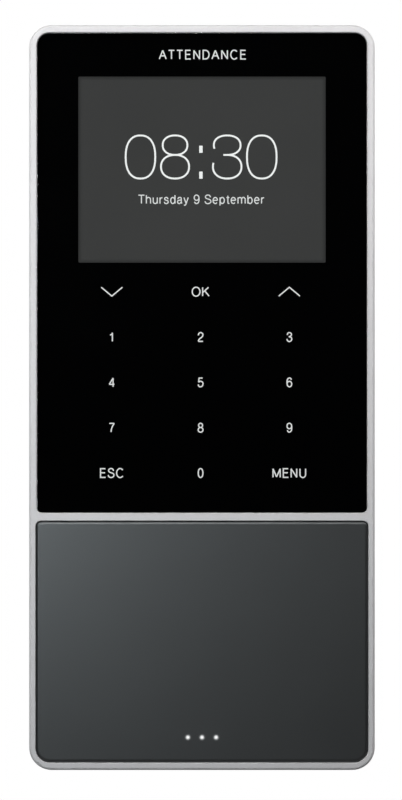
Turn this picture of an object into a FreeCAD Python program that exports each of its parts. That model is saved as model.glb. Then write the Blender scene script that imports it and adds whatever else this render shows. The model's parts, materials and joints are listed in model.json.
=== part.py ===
import FreeCAD, Part
import math
import os

# Wall-mounted attendance terminal: a framed touch glass over a display and keys, a card reader
# behind a dark lower cover, a rear cover with a port bay, and a steel plate it hangs on.
# Millimetres. +X right, +Z up, the front faces -Y. The wall is the plane y = 0, and the origin
# is the centre of the four wall holes on the back face of the wall plate.

Vector = FreeCAD.Vector

# Whole terminal.
BODY_W = 98.0
BODY_H = 211.2
FRONT_Y = -31.0
SPLIT_Y = -16.0
CORNER_R = 6.4
HALF_W = BODY_W / 2
HALF_H = BODY_H / 2

# Front frame: side wall, the ledge that carries the glass, and the ledge of the lower cover.
FRAME_WALL = 2.1
FRAME_EDGE_R = 0.8
LEDGE_BACK_Y = -26.6
GLASS_LEDGE_Y = -28.6
COVER_LEDGE_Y = -28.9
LEDGE_OPENING_X = 44.4
MOUTH_CHAMFER = 0.15
CAVITY_X = HALF_W - FRAME_WALL
CAVITY_Z = HALF_H - FRAME_WALL
CAVITY_R = 4.3

# Glass and the printed film behind it. A gap runs round both.
GLASS_X = 46.775
GLASS_TOP = 103.4
GLASS_BOTTOM = -32.65
GLASS_FRONT_Y = -30.7
GLASS_BACK_Y = -28.9
GLASS_GAP = 0.1
GLASS_RADII = (1.4, 1.4, 3.5, 3.5)
GLASS_EDGE_R = 0.2
FILM_INSET = 0.02
FILM_FRONT_Y = -28.88
FILM_BACK_Y = -28.75

# Display: the window in the film and the module behind it.
WINDOW_W = 70.2
WINDOW_H = 52.8
WINDOW_Z = 64.7
PANEL_X = 38.3
PANEL_BOTTOM = 36.2
PANEL_TOP = 99.0
PANEL_FRONT_Y = -28.4
PANEL_BACK_Y = -27.0
BACKLIGHT_TOP = 93.0
TRAY_BACK_Y = -25.2
TRAY_WALL = 0.3

# Touch keys: three columns, five rows.
KEY_COLUMNS = 3
KEY_ROWS = 5
KEY_PITCH_X = 25.2
KEY_PITCH_Z = 12.87
KEY_CENTRE_X = -0.4
KEY_TOP_Z = 30.05
KEYPAD_X = 44.2
KEYPAD_TOP = 34.6
KEYPAD_BOTTOM = -30.1
KEYPAD_FRONT_Y = -28.6
KEYPAD_BACK_Y = -27.4

# Lower cover and the card reader behind it.
COVER_X = 47.1
COVER_TOP = -35.05
COVER_BOTTOM = -103.4
COVER_FRONT_Y = -30.9
COVER_GAP = 0.1
COVER_RADII = (4.0, 4.0, 1.5, 1.5)
COVER_EDGE_R = 0.9
STATUS_Z = -96.3
STATUS_PITCH = 4.0
STATUS_HOLE_R = 0.7
READER_X = 40.0
READER_TOP = -40.0
READER_BOTTOM = -99.0
READER_FRONT_Y = -27.4
READER_BACK_Y = -26.4
READER_SCREWS = [(x, z) for x in (-36.0, 36.0) for z in (-44.0, -93.0)]
COIL_TURNS = 4
COIL_TRACK = 0.8
COIL_PITCH = 1.6
COIL_T = 0.1
COIL_HALF_X = 31.0
COIL_TOP = -46.0
COIL_BOTTOM = -88.0

# Flat ribbon cables.
RIBBON_T = 0.12

# Screw posts that join the two halves of the case.
POST_X = 43.8
POST_ZS = (-97.5, 0.0, 97.5)
POST_R = 3.4
POST_END_Y = -18.6
SCREW_SEAT_Y = -8.0

# Steel plate that holds the display and keypad against the glass.
SUPPORT_FRONT_Y = -23.4
SUPPORT_BACK_Y = -22.6
SUPPORT_SCREWS = [(x, z) for x in (-44.2, 44.2) for z in (-24.0, 22.0, 85.0)]

# Rear cover.
BACK_X = 47.5
BACK_Z = 104.1
BACK_Y = -0.8
BACK_R = 5.4
BACK_EDGE_R = 1.5
BACK_WALL = 2.0
LIP_END_Y = -18.4
RECESS_X = 40.4
RECESS_TOP = 91.0
RECESS_BOTTOM = -97.0
RECESS_FLOOR_Y = -5.0
RECESS_R = 6.5
FLOOR_INNER_Y = RECESS_FLOOR_Y - BACK_WALL
PAD_ZS = (-55.0, 62.0)

# Port bay, open towards the wall, with its sockets in the top wall.
BAY_X = 23.0
BAY_TOP = 10.0
BAY_BOTTOM = -30.0
BAY_FLOOR_Y = -16.0
BAY_WALL = 1.6

# Main board and its fixings.
BOARD_X = 40.0
BOARD_TOP = 94.0
BOARD_BOTTOM = -36.0
BOARD_FRONT_Y = -20.0
BOARD_BACK_Y = -18.4
BOARD_SCREWS = [(x, z) for x in (-36.0, 36.0) for z in (-32.6, 89.0)]
BOARD_CHIPS = [
    (-30.0, 20.0, 8.0, 10.0),
    (-14.0, 14.0, 7.0, 7.0),
    (-30.0, 76.0, 6.0, 8.0),
    (8.0, 2.0, 10.0, 6.0),
    (30.0, -20.0, 6.0, 5.0),
    (10.0, -24.0, 5.0, 5.0),
]
CHIP_T = 1.1
CAPACITORS = [(22.0, 16.0), (22.0, 25.0), (-28.0, 16.0)]

CELL_X = -22.0
CELL_Z = -14.0

# Sockets on the back of the main board.
SOCKET_FACE_Z = 10.2
LAN_X = -12.0
LAN_W = 16.0
LAN_TOP = 31.0
LAN_BACK_Y = -7.2
DC_X = 11.5
DC_W = 9.0
DC_TOP = 24.2
DC_BACK_Y = -7.6
DC_AXIS_Y = -12.6
RESET_X = 1.5
RESET_Y = -15.4
RESET_R = 1.2

# USB socket in the right side wall, behind a hinged cover.
USB_Z = 30.0
USB_FRONT_Y = -13.4
USB_BACK_Y = -7.4
USB_H = 13.3
USB_MOUTH_X = 46.1
USB_DEEP_X = 31.6
USB_WALL = 0.4
FLAP_AXIS_X = 46.6
FLAP_AXIS_Y = -6.3
FLAP_X = (46.3, 47.5)
FLAP_FRONT_Y = -14.8
FLAP_HALF_H = 10.0
FLAP_PIN_R = 0.5

# Tamper switch: its plunger rides on a sloping tongue of the wall plate.
TAMPER_X = 12.0
TAMPER_Z = 62.0
TAMPER_TIP_Y = -3.2
TAMPER_R = 1.5
TAMPER_SLOPE = 0.25

# Speaker.
SPEAKER_X = -20.0
SPEAKER_Z = -78.0
SPEAKER_R = 14.0
GRILLE_HOLE_R = 0.9
GRILLE_PITCH = 3.3
GRILLE_RINGS = 3

# Vents at the top of the recess and in the bottom wall.
VENT_W = 1.4
VENT_H = 11.0
VENT_Z = 80.0
VENT_PITCH = 3.0
VENT_LEFT_X = -36.0
VENT_COUNT = 16
BOTTOM_VENT_X = 17.0
BOTTOM_VENT_PITCH = 3.2
BOTTOM_VENT_COUNT = 7

# Wall plate with its hooks, cable window and locking flange.
PLATE_T = 1.2
PLATE_X = 40.0
PLATE_Z = 90.0
PLATE_R = 6.0
WALL_HOLE_X = 30.0
WALL_HOLE_Z = 70.0
WALL_HOLE_R = 2.5
CABLE_X = 25.0
CABLE_TOP = 12.0
CABLE_BOTTOM = -32.0
HOOK_X = 29.0
HOOK_ZS = (-50.0, 52.0)
HOOK_W = 8.0
HOOK_TAB_H = 5.0
HOOK_SLOT_H = 7.7
HOOK_TAB_Y = -7.6
HOOK_BEND_R = 0.6
LIFT = 6.0
FIT_GAP = 0.05

# Locking flange at the bottom of the plate, in a notch of the rear cover.
NOTCH_X = 9.0
NOTCH_TOP = -98.0
NOTCH_DEEP_Y = -13.0
FLANGE_X = 7.0
FLANGE_END_Y = -12.0
LOCK_Y = -8.5


def block(xs, ys, zs):
    """Box between pairs of limits."""
    corner = Vector(min(xs), min(ys), min(zs))
    return Part.makeBox(abs(xs[1] - xs[0]), abs(ys[1] - ys[0]), abs(zs[1] - zs[0]), corner)


def rod_y(x, z, radius, back, front):
    """Cylinder along Y."""
    return Part.makeCylinder(radius, back - front, Vector(x, front, z), Vector(0, 1, 0))


def rod_z(x, y, radius, low, high):
    """Cylinder along Z."""
    return Part.makeCylinder(radius, high - low, Vector(x, y, low), Vector(0, 0, 1))


def rounded_path(points, radius, closed=False):
    """Wire through the points, each corner an arc tangent to its two runs."""
    points = [Vector(point) for point in points]
    count = len(points)
    radii = list(radius) if isinstance(radius, (list, tuple)) else [radius] * count
    stops = []
    for index, point in enumerate(points):
        is_end = not closed and index in (0, count - 1)
        if is_end or radii[index] <= 0:
            stops.append((point, None, point))
            continue
        before = (points[index - 1] - point).normalize()
        after = (points[(index + 1) % count] - point).normalize()
        half = before.getAngle(after) / 2
        reach = radii[index] / math.tan(half)
        inset = radii[index] / math.sin(half) - radii[index]
        middle = point + (before + after).normalize() * inset
        stops.append((point + before * reach, middle, point + after * reach))
    edges = []
    for index, (enter, middle, leave) in enumerate(stops):
        if middle is not None:
            edges.append(Part.Arc(enter, middle, leave).toShape())
        following = stops[(index + 1) % count][0]
        has_next = closed or index < count - 1
        if has_next and leave.distanceToPoint(following) > 1e-6:
            edges.append(Part.makeLine(leave, following))
    return Part.Wire(edges)


def slab(xs, zs, back, front, radius=0.0):
    """Plate in the XZ plane. Radii run bottom left, bottom right, top right, top left."""
    corners = [(xs[0], back, zs[0]), (xs[1], back, zs[0]), (xs[1], back, zs[1]), (xs[0], back, zs[1])]
    outline = rounded_path(corners, radius, closed=True)
    return Part.Face(outline).extrude(Vector(0, front - back, 0))


def centred_slab(x, z, width, height, back, front, radius=0.0):
    """Plate in the XZ plane about a centre."""
    xs = (x - width / 2, x + width / 2)
    zs = (z - height / 2, z + height / 2)
    return slab(xs, zs, back, front, radius)


def bent_sheet(points, radii, thickness, xs):
    """Strip on the left of a (y, z) path, each bend rounded by its radius, spanning xs."""
    near = [Vector(xs[0], y, z) for y, z in points]
    runs = [(after - before).normalize() for before, after in zip(near, near[1:])]
    normals = [Vector(0, -run.z, run.y) for run in runs]
    far = []
    far_radii = []
    for index, point in enumerate(near):
        first = normals[max(index - 1, 0)]
        last = normals[min(index, len(normals) - 1)]
        far.append(point + (first + last) * (thickness / (1 + first.dot(last))))
        inward = -1 if first.cross(last).x > 0 else 1
        far_radii.append(radii[index] + inward * thickness if radii[index] else 0)
    outline = rounded_path(near + far[::-1], list(radii) + far_radii[::-1], closed=True)
    return Part.Face(outline).extrude(Vector(xs[1] - xs[0], 0, 0))


def round_lead(points, bend, radius, x):
    """Round wire that follows a path in a YZ plane."""
    path = rounded_path([(x, y, z) for y, z in points], bend)
    start = Vector(x, *points[0])
    direction = Vector(x, *points[1]) - start
    profile = Part.Wire(Part.makeCircle(radius, start, direction))
    return path.makePipeShell([profile], True, False)


def fuse(first, *others):
    """One solid from touching ones."""
    return first.fuse(list(others)).removeSplitter()


def cut(first, *tools):
    """First shape without the tools."""
    return first.cut(list(tools))


def edges_at(shape, y, half_x=1e3, half_z=1e3):
    """Edges that lie in the plane y, within the half widths."""
    found = []
    for edge in shape.Edges:
        box = edge.BoundBox
        in_plane = abs(box.YMin - y) < 1e-4 and abs(box.YMax - y) < 1e-4
        in_x = max(abs(box.XMin), abs(box.XMax)) < half_x
        in_z = max(abs(box.ZMin), abs(box.ZMax)) < half_z
        if in_plane and in_x and in_z:
            found.append(edge)
    return found


def save(name, *shapes):
    """One STEP file for the node, with every solid it is made of."""
    solids = [solid for shape in shapes for solid in shape.Solids]
    result = solids[0] if len(solids) == 1 else Part.makeCompound(solids)
    state = "ok" if all(solid.isValid() for solid in solids) else "INVALID"
    print(f"{name}: {len(solids)} solid(s), {sum(solid.Volume for solid in solids):.1f} mm3, {state}")
    result.exportStep(os.path.join("parts", name + ".step"))


def screw_y(x, z, seat, tip, shank_r, head_r, head_h, direction):
    """Pan-head screw along Y with a cross recess. Direction +1 has its head towards the wall."""
    shank = rod_y(x, z, shank_r, max(seat, tip), min(seat, tip))
    top = seat + direction * head_h
    head = rod_y(x, z, head_r, max(seat, top), min(seat, top))
    head = head.makeFillet(head_h * 0.4, edges_at(head, top))
    depth = top - direction * head_h * 0.55
    arm = head_r * 0.6
    slot = head_r * 0.16
    recess = [block((x - arm, x + arm), (top, depth), (z - slot, z + slot))]
    recess.append(block((x - slot, x + slot), (top, depth), (z - arm, z + arm)))
    return cut(fuse(head, shank), *recess)


def key_places():
    """Centres of the touch keys, row by row from the top."""
    places = []
    for row in range(KEY_ROWS):
        for column in range(KEY_COLUMNS):
            x = KEY_CENTRE_X + (column - (KEY_COLUMNS - 1) / 2) * KEY_PITCH_X
            places.append((x, KEY_TOP_Z - row * KEY_PITCH_Z))
    return places


def status_xs():
    """Centres of the three status lights."""
    return (-STATUS_PITCH, 0.0, STATUS_PITCH)


def front_frame():
    """Outer ring and crossbar, with ledges, case posts and support bosses."""
    outer = slab((-HALF_W, HALF_W), (-HALF_H, HALF_H), SPLIT_Y, FRONT_Y, CORNER_R)
    outer = outer.makeFillet(FRAME_EDGE_R, edges_at(outer, FRONT_Y))
    cavity = slab((-CAVITY_X, CAVITY_X), (-CAVITY_Z, CAVITY_Z), SPLIT_Y, LEDGE_BACK_Y, CAVITY_R)
    glass_mouth = slab(
        (-GLASS_X - GLASS_GAP, GLASS_X + GLASS_GAP),
        (GLASS_BOTTOM - GLASS_GAP, GLASS_TOP + GLASS_GAP),
        GLASS_LEDGE_Y,
        FRONT_Y,
        [radius + GLASS_GAP for radius in GLASS_RADII],
    )
    cover_mouth = slab(
        (-COVER_X - COVER_GAP, COVER_X + COVER_GAP),
        (COVER_BOTTOM - COVER_GAP, COVER_TOP + COVER_GAP),
        COVER_LEDGE_Y,
        FRONT_Y,
        [radius + COVER_GAP for radius in COVER_RADII],
    )
    opening_xs = (-LEDGE_OPENING_X, LEDGE_OPENING_X)
    glass_opening = slab(opening_xs, (-30.4, 101.2), LEDGE_BACK_Y, GLASS_LEDGE_Y, 2.0)
    cover_opening = slab(opening_xs, (-100.9, -37.2), LEDGE_BACK_Y, COVER_LEDGE_Y, 2.0)
    frame = cut(outer, cavity, glass_mouth, cover_mouth, glass_opening, cover_opening)
    frame = frame.makeChamfer(MOUTH_CHAMFER, edges_at(frame, FRONT_Y, HALF_W - 1.2, HALF_H - 1.2))
    added = []
    holes = []
    for x in (-POST_X, POST_X):
        for z in POST_ZS:
            added.append(rod_y(x, z, POST_R, POST_END_Y, LEDGE_BACK_Y))
            holes.append(rod_y(x, z, 1.25, POST_END_Y, -24.6))
    for x, z in SUPPORT_SCREWS:
        added.append(rod_y(x, z, 3.0, SUPPORT_FRONT_Y, LEDGE_BACK_Y))
        holes.append(rod_y(x, z, 0.85, SUPPORT_FRONT_Y, -26.5))
    return cut(fuse(frame, *added), *holes)


def touch_glass():
    """Cover glass with a finely rounded front edge."""
    glass = slab((-GLASS_X, GLASS_X), (GLASS_BOTTOM, GLASS_TOP), GLASS_BACK_Y, GLASS_FRONT_Y, GLASS_RADII)
    return glass.makeFillet(GLASS_EDGE_R, edges_at(glass, GLASS_FRONT_Y))


def graphic_film():
    """Printed film behind the glass, cut out at the display."""
    xs = (-GLASS_X + FILM_INSET, GLASS_X - FILM_INSET)
    zs = (GLASS_BOTTOM + FILM_INSET, GLASS_TOP - FILM_INSET)
    film = slab(xs, zs, FILM_BACK_Y, FILM_FRONT_Y, GLASS_RADII)
    window = centred_slab(0, WINDOW_Z, WINDOW_W, WINDOW_H, FILM_BACK_Y, FILM_FRONT_Y, 0.3)
    return cut(film, window)


def glass_adhesive():
    """Tape ring between the film and the frame's ledge."""
    outer = slab((-46.5, 46.5), (-32.2, 103.1), GLASS_LEDGE_Y, FILM_BACK_Y, (1.4, 1.4, 3.5, 3.5))
    inner = slab((-44.8, 44.8), (-30.8, 101.6), GLASS_LEDGE_Y, FILM_BACK_Y, 2.0)
    return cut(outer, inner)


def display_gasket():
    """Foam ring between the film and the display."""
    outer = centred_slab(0, WINDOW_Z, 75.0, 56.4, PANEL_FRONT_Y, FILM_BACK_Y, 1.0)
    inner = centred_slab(0, WINDOW_Z, 71.2, 53.8, PANEL_FRONT_Y, FILM_BACK_Y, 0.5)
    return cut(outer, inner)


def display_tray():
    """Pressed metal tray under the backlight, open at the top for the flex."""
    outer_x = PANEL_X + 0.1 + TRAY_WALL
    zs = (PANEL_BOTTOM - 0.1 - TRAY_WALL, BACKLIGHT_TOP)
    outer = slab((-outer_x, outer_x), zs, TRAY_BACK_Y, PANEL_FRONT_Y)
    inner_zs = (PANEL_BOTTOM - 0.1, BACKLIGHT_TOP)
    inner = slab((-PANEL_X - 0.1, PANEL_X + 0.1), inner_zs, TRAY_BACK_Y - TRAY_WALL, PANEL_FRONT_Y)
    return cut(outer, inner)


def display_flex():
    """Ribbon from the panel's top ledge, folded back and down to the main board."""
    board_end = [(-21.1, 86.2), (-21.1, 89.0), (-23.0, 92.5)]
    panel_end = [(-23.0, 101.0), (PANEL_BACK_Y, 101.0), (PANEL_BACK_Y, 94.0)]
    return bent_sheet(board_end + panel_end, (0, 1.5, 1.5, 1.95, 1.95, 0), RIBBON_T, (-14.0, 14.0))


def keypad_board():
    """Touch board with a light hole at every key."""
    board = slab((-KEYPAD_X, KEYPAD_X), (KEYPAD_BOTTOM, KEYPAD_TOP), KEYPAD_BACK_Y, KEYPAD_FRONT_Y, 2.2)
    holes = [rod_y(x, z, 1.1, KEYPAD_BACK_Y, KEYPAD_FRONT_Y) for x, z in key_places()]
    return cut(board, *holes)


def key_leds():
    """Lights soldered over the holes on the back of the touch board."""
    back = KEYPAD_BACK_Y
    return [block((x - 1.6, x + 1.6), (back, back + 0.6), (z - 1.3, z + 1.3)) for x, z in key_places()]


def keypad_cable():
    """Ribbon from the touch board round to the main board."""
    points = [(-26.4, 24.0), (-26.4, 12.0), (-21.0, 12.0), (-21.0, 24.0)]
    return bent_sheet(points, (0, 2.65, 2.65, 0), RIBBON_T, (20.0, 32.0))


def ffc_connectors():
    """Ribbon connectors: display, keypad at both ends, reader at both ends."""
    display = block((-15.0, 15.0), (BOARD_FRONT_Y, -22.0), (82.0, 86.0))
    keypad_main = block((19.0, 33.0), (BOARD_FRONT_Y, -22.0), (24.2, 28.2))
    keypad_touch = block((19.0, 33.0), (KEYPAD_BACK_Y, -25.4), (24.2, 28.2))
    reader_main = block((-16.0, -4.0), (BOARD_FRONT_Y, -22.0), (-34.0, -30.0))
    reader_end = block((-16.0, -4.0), (READER_BACK_Y, -24.6), (-53.0, -49.0))
    return [display, keypad_main, keypad_touch, reader_main, reader_end]


def reader_cable():
    """Ribbon from the card reader up to the main board."""
    points = [(-25.6, -48.8), (-25.6, -44.5), (-21.0, -38.5), (-21.0, -34.2)]
    return bent_sheet(points, (0, 2.0, 2.0, 0), RIBBON_T, (-15.0, -5.0))


def support_plate():
    """Pressed plate across the frame, with windows for the tall parts of the main board."""
    plate = slab((-46.4, 46.4), (-29.0, 91.5), SUPPORT_BACK_Y, SUPPORT_FRONT_Y, 2.0)
    windows = [
        rod_y(CELL_X, CELL_Z, 13.0, SUPPORT_BACK_Y, SUPPORT_FRONT_Y),
        slab((17.0, 35.0), (7.0, 30.0), SUPPORT_BACK_Y, SUPPORT_FRONT_Y, 2.0),
        slab((-20.0, 20.0), (78.0, 91.5), SUPPORT_BACK_Y, SUPPORT_FRONT_Y, 0),
        slab((-38.0, -34.0), (30.0, 76.0), SUPPORT_BACK_Y, SUPPORT_FRONT_Y, 1.9),
        slab((34.0, 38.0), (34.0, 76.0), SUPPORT_BACK_Y, SUPPORT_FRONT_Y, 1.9),
        slab((-6.0, 10.0), (-26.0, 26.0), SUPPORT_BACK_Y, SUPPORT_FRONT_Y, 2.0),
    ]
    for x in (-POST_X, POST_X):
        windows.append(rod_y(x, 0.0, POST_R + 0.6, SUPPORT_BACK_Y, SUPPORT_FRONT_Y))
    for x, z in SUPPORT_SCREWS:
        windows.append(rod_y(x, z, 1.1, SUPPORT_BACK_Y, SUPPORT_FRONT_Y))
    for x in (-POST_X, POST_X):
        side = 1 if x > 0 else -1
        edge = (x, side * 47.0)
        windows.append(block(edge, (SUPPORT_BACK_Y, SUPPORT_FRONT_Y), (-POST_R - 0.6, POST_R + 0.6)))
    return cut(plate, *windows)


def foam_pads():
    """Pads from the support plate to the display tray and to the touch board."""
    pads = []
    for x in (-26.0, 26.0):
        for z in (42.0, 72.0):
            pads.append(centred_slab(x, z, 10.0, 8.0, SUPPORT_FRONT_Y, TRAY_BACK_Y, 1.0))
    for x in (-40.0, 40.0):
        for z in (-13.0, 12.0):
            pads.append(centred_slab(x, z, 5.0, 10.0, SUPPORT_FRONT_Y, KEYPAD_BACK_Y, 1.0))
    return pads


def lower_cover():
    """Dark cover over the card reader, with clips, reader spacers and three light holes."""
    panel = slab((-COVER_X, COVER_X), (COVER_BOTTOM, COVER_TOP), COVER_LEDGE_Y, COVER_FRONT_Y, COVER_RADII)
    panel = panel.makeFillet(COVER_EDGE_R, edges_at(panel, COVER_FRONT_Y))
    added = []
    holes = []
    for x in (-28.0, 28.0):
        for stem, hook in (((-38.5, -37.3), (-38.5, -36.7)), ((-100.8, -99.6), (-101.4, -99.6))):
            added.append(block((x - 3, x + 3), (COVER_LEDGE_Y - 0.5, -25.6), stem))
            added.append(block((x - 3, x + 3), (LEDGE_BACK_Y + 0.1, -25.6), hook))
    for x, z in READER_SCREWS:
        added.append(rod_y(x, z, 2.2, READER_FRONT_Y, COVER_LEDGE_Y - 0.5))
        holes.append(rod_y(x, z, 0.85, READER_FRONT_Y, -29.8))
    for x in status_xs():
        holes.append(rod_y(x, STATUS_Z, STATUS_HOLE_R, COVER_LEDGE_Y, COVER_FRONT_Y))
    return cut(fuse(panel, *added), *holes)


def status_light_pipes():
    """Three clear pins on one bar."""
    bar = block((-6.0, 6.0), (-28.2, COVER_LEDGE_Y + FIT_GAP), (STATUS_Z - 1.2, STATUS_Z + 1.2))
    pins = [rod_y(x, STATUS_Z, STATUS_HOLE_R - FIT_GAP, -28.4, COVER_FRONT_Y + 0.05) for x in status_xs()]
    return fuse(bar, *pins)


def reader_board():
    """Card reader board with its screw holes."""
    board = slab((-READER_X, READER_X), (READER_BOTTOM, READER_TOP), READER_BACK_Y, READER_FRONT_Y, 1.5)
    holes = [rod_y(x, z, 1.1, READER_BACK_Y, READER_FRONT_Y) for x, z in READER_SCREWS]
    return cut(board, *holes)


def antenna_coil():
    """Flat square-cornered copper coil on the front of the reader board."""
    front = READER_FRONT_Y - COIL_T

    def turn_outline(inset, corner):
        width = 2 * (COIL_HALF_X - inset)
        height = COIL_TOP - COIL_BOTTOM - 2 * inset
        return centred_slab(0, (COIL_TOP + COIL_BOTTOM) / 2, width, height, READER_FRONT_Y, front, corner)

    pieces = []
    for turn in range(COIL_TURNS):
        inset = turn * COIL_PITCH
        pieces.append(cut(turn_outline(inset, 2.0), turn_outline(inset + COIL_TRACK, 1.5)))
    bridge_top = COIL_BOTTOM + (COIL_TURNS - 1) * COIL_PITCH + COIL_TRACK
    bridge = block((-1.0, 1.0), (READER_FRONT_Y, front), (COIL_BOTTOM + 0.1, bridge_top))
    return fuse(pieces[0], *pieces[1:], bridge)


def main_board():
    """Main board with screw holes."""
    board = slab((-BOARD_X, BOARD_X), (BOARD_BOTTOM, BOARD_TOP), BOARD_BACK_Y, BOARD_FRONT_Y, 1.5)
    holes = [rod_y(x, z, 1.3, BOARD_BACK_Y, BOARD_FRONT_Y) for x, z in BOARD_SCREWS]
    return cut(board, *holes)


def shield_can():
    """Thin metal can over the processor."""
    outer = slab((-8.0, 24.0), (40.0, 72.0), BOARD_FRONT_Y, -22.2, 1.0)
    inner = slab((-7.7, 23.7), (40.3, 71.7), BOARD_FRONT_Y, -21.9, 0.8)
    return cut(outer, inner)


def board_chips():
    """Chips on the front of the main board."""
    return [centred_slab(x, z, w, h, BOARD_FRONT_Y, BOARD_FRONT_Y - CHIP_T) for x, z, w, h in BOARD_CHIPS]


def capacitors():
    """Round capacitors on the back of the main board, beside the power socket."""
    return [rod_y(x, z, 3.1, -11.4, BOARD_BACK_Y) for x, z in CAPACITORS]


def coin_cell():
    """Round cell with a smaller cap on its front."""
    can = rod_y(CELL_X, CELL_Z, 10.0, -20.8, -23.8)
    return fuse(can, rod_y(CELL_X, CELL_Z, 8.4, -23.8, -24.0))


def coin_cell_holder():
    """Round cup for the clock's backup cell, with a finger gap."""
    cup = rod_y(CELL_X, CELL_Z, 11.6, BOARD_FRONT_Y, -23.0)
    well = rod_y(CELL_X, CELL_Z, 10.2, -20.8, -23.0)
    gap = block((CELL_X - 4.0, CELL_X + 4.0), (-20.8, -23.0), (CELL_Z - 13.0, CELL_Z - 6.0))
    return cut(cup, well, gap)


def lan_jack():
    """Shielded network socket with its mouth down into the port bay."""
    xs = (LAN_X - LAN_W / 2, LAN_X + LAN_W / 2)
    body = block(xs, (BOARD_BACK_Y, LAN_BACK_Y), (SOCKET_FACE_Z, LAN_TOP))
    mouth = block((LAN_X - 5.95, LAN_X + 5.95), (-16.4, -9.8), (SOCKET_FACE_Z, 27.0))
    latch = block((LAN_X - 3.1, LAN_X + 3.1), (-9.8, -8.4), (SOCKET_FACE_Z, 20.0))
    return cut(body, mouth, latch)


def lan_contacts():
    """Eight spring contacts along the front wall of the network socket."""
    pitch = 1.02
    width = 0.45
    contacts = []
    for index in range(8):
        x = LAN_X + (index - 3.5) * pitch
        points = [(-16.35, 25.5), (-16.35, 23.5), (-14.5, 13.2), (-15.2, 12.0)]
        contacts.append(bent_sheet(points, (0, 0.8, 0.6, 0), 0.25, (x - width / 2, x + width / 2)))
    return contacts


def dc_jack():
    """Power socket with its mouth down into the port bay."""
    body = block((DC_X - DC_W / 2, DC_X + DC_W / 2), (BOARD_BACK_Y, DC_BACK_Y), (SOCKET_FACE_Z, DC_TOP))
    return cut(body, rod_z(DC_X, DC_AXIS_Y, 3.2, SOCKET_FACE_Z, 20.2))


def usb_shell():
    """Folded metal sleeve of the USB socket."""
    zs = (USB_Z - USB_H / 2, USB_Z + USB_H / 2)
    sleeve = block((USB_DEEP_X, USB_MOUTH_X), (USB_FRONT_Y, USB_BACK_Y), zs)
    inner_zs = (zs[0] + USB_WALL, zs[1] - USB_WALL)
    hollow = block((USB_DEEP_X, USB_MOUTH_X), (USB_FRONT_Y + USB_WALL, USB_BACK_Y - USB_WALL), inner_zs)
    return cut(sleeve, hollow)


def usb_insulator():
    """Back block and contact tongue inside the USB sleeve."""
    half = USB_H / 2 - USB_WALL
    ys = (USB_FRONT_Y + USB_WALL, USB_BACK_Y - USB_WALL)
    back = block((USB_DEEP_X, 35.4), ys, (USB_Z - half, USB_Z + half))
    tongue = block((35.0, 44.4), (-12.2, -10.4), (USB_Z - 5.6, USB_Z + 5.6))
    return fuse(back, tongue)


def flap_barrel(radius, low, high):
    """Cylinder about the hinge axis of the USB cover."""
    return rod_z(FLAP_AXIS_X, FLAP_AXIS_Y, radius, low, high)


def usb_cover():
    """Hinged cover over the USB socket, with its barrel and a thumb recess."""
    zs = (USB_Z - FLAP_HALF_H, USB_Z + FLAP_HALF_H)
    leaf = block(FLAP_X, (FLAP_FRONT_Y, -6.5), zs)
    tall = [edge for edge in leaf.Edges if edge.BoundBox.XMin > FLAP_X[1] - 1e-4]
    leaf = leaf.makeFillet(0.3, [edge for edge in tall if edge.BoundBox.YMax < -6.6])
    barrel = flap_barrel(0.85, *zs)
    bore = flap_barrel(FLAP_PIN_R + FIT_GAP, *zs)
    thumb = block((47.1, 48.0), (FLAP_FRONT_Y, FLAP_FRONT_Y + 1.2), (USB_Z - 4.0, USB_Z + 4.0))
    return cut(fuse(leaf, barrel), bore, thumb)


def reset_button():
    """Small plunger of the reset switch."""
    button = rod_z(RESET_X, RESET_Y, RESET_R, 10.15, 13.2)
    rim = [edge for edge in button.Edges if edge.BoundBox.ZMax < 10.2]
    return button.makeFillet(0.3, rim)


def reset_switch():
    """Side-pushed switch on the back of the main board."""
    body = block((RESET_X - 3.0, RESET_X + 3.0), (BOARD_BACK_Y, -12.4), (12.0, 15.6))
    return cut(body, rod_z(RESET_X, RESET_Y, RESET_R + FIT_GAP, 12.0, 14.2))


def tamper_switch():
    """Switch body that guides the tamper plunger."""
    half = 3.4
    body = centred_slab(TAMPER_X, TAMPER_Z, 2 * half, 2 * half, -11.5, BOARD_BACK_Y)
    return cut(body, rod_y(TAMPER_X, TAMPER_Z, TAMPER_R + FIT_GAP, -11.5, -17.0))


def tamper_plunger():
    """Round-ended plunger, pressed in when the terminal hangs on its plate."""
    ball_y = TAMPER_TIP_Y - TAMPER_R
    stem = rod_y(TAMPER_X, TAMPER_Z, TAMPER_R, ball_y, -15.0)
    return fuse(stem, Part.makeSphere(TAMPER_R, Vector(TAMPER_X, ball_y, TAMPER_Z)))


def ring_y(x, z, outer, inner, back, front):
    """Flat ring about a Y axis."""
    return cut(rod_y(x, z, outer, back, front), rod_y(x, z, inner, back, front))


def speaker_frame():
    """Basket of the speaker: rim and rear floor with openings."""
    rim = ring_y(SPEAKER_X, SPEAKER_Z, SPEAKER_R, SPEAKER_R - 1.6, -7.5, -10.4)
    floor = ring_y(SPEAKER_X, SPEAKER_Z, SPEAKER_R - 1.0, 4.0, -9.8, -10.4)
    return fuse(rim, floor)


def speaker_cone():
    """Thin dished cone and centre dome."""
    wall_side = [(12.2, -7.9), (11.0, -7.6), (9.8, -7.9), (5.0, -9.2), (3.0, -8.7), (0.0, -8.5)]
    magnet_side = [(0.0, -8.75), (3.0, -8.95), (5.0, -9.5), (9.9, -8.2), (11.0, -7.9), (12.2, -8.15)]
    points = [Vector(SPEAKER_X + radius, y, SPEAKER_Z) for radius, y in wall_side + magnet_side]
    outline = Part.makePolygon(points + [points[0]])
    axis = Vector(SPEAKER_X, 0, SPEAKER_Z)
    return Part.Face(outline).revolve(axis, Vector(0, 1, 0), 360)


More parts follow.
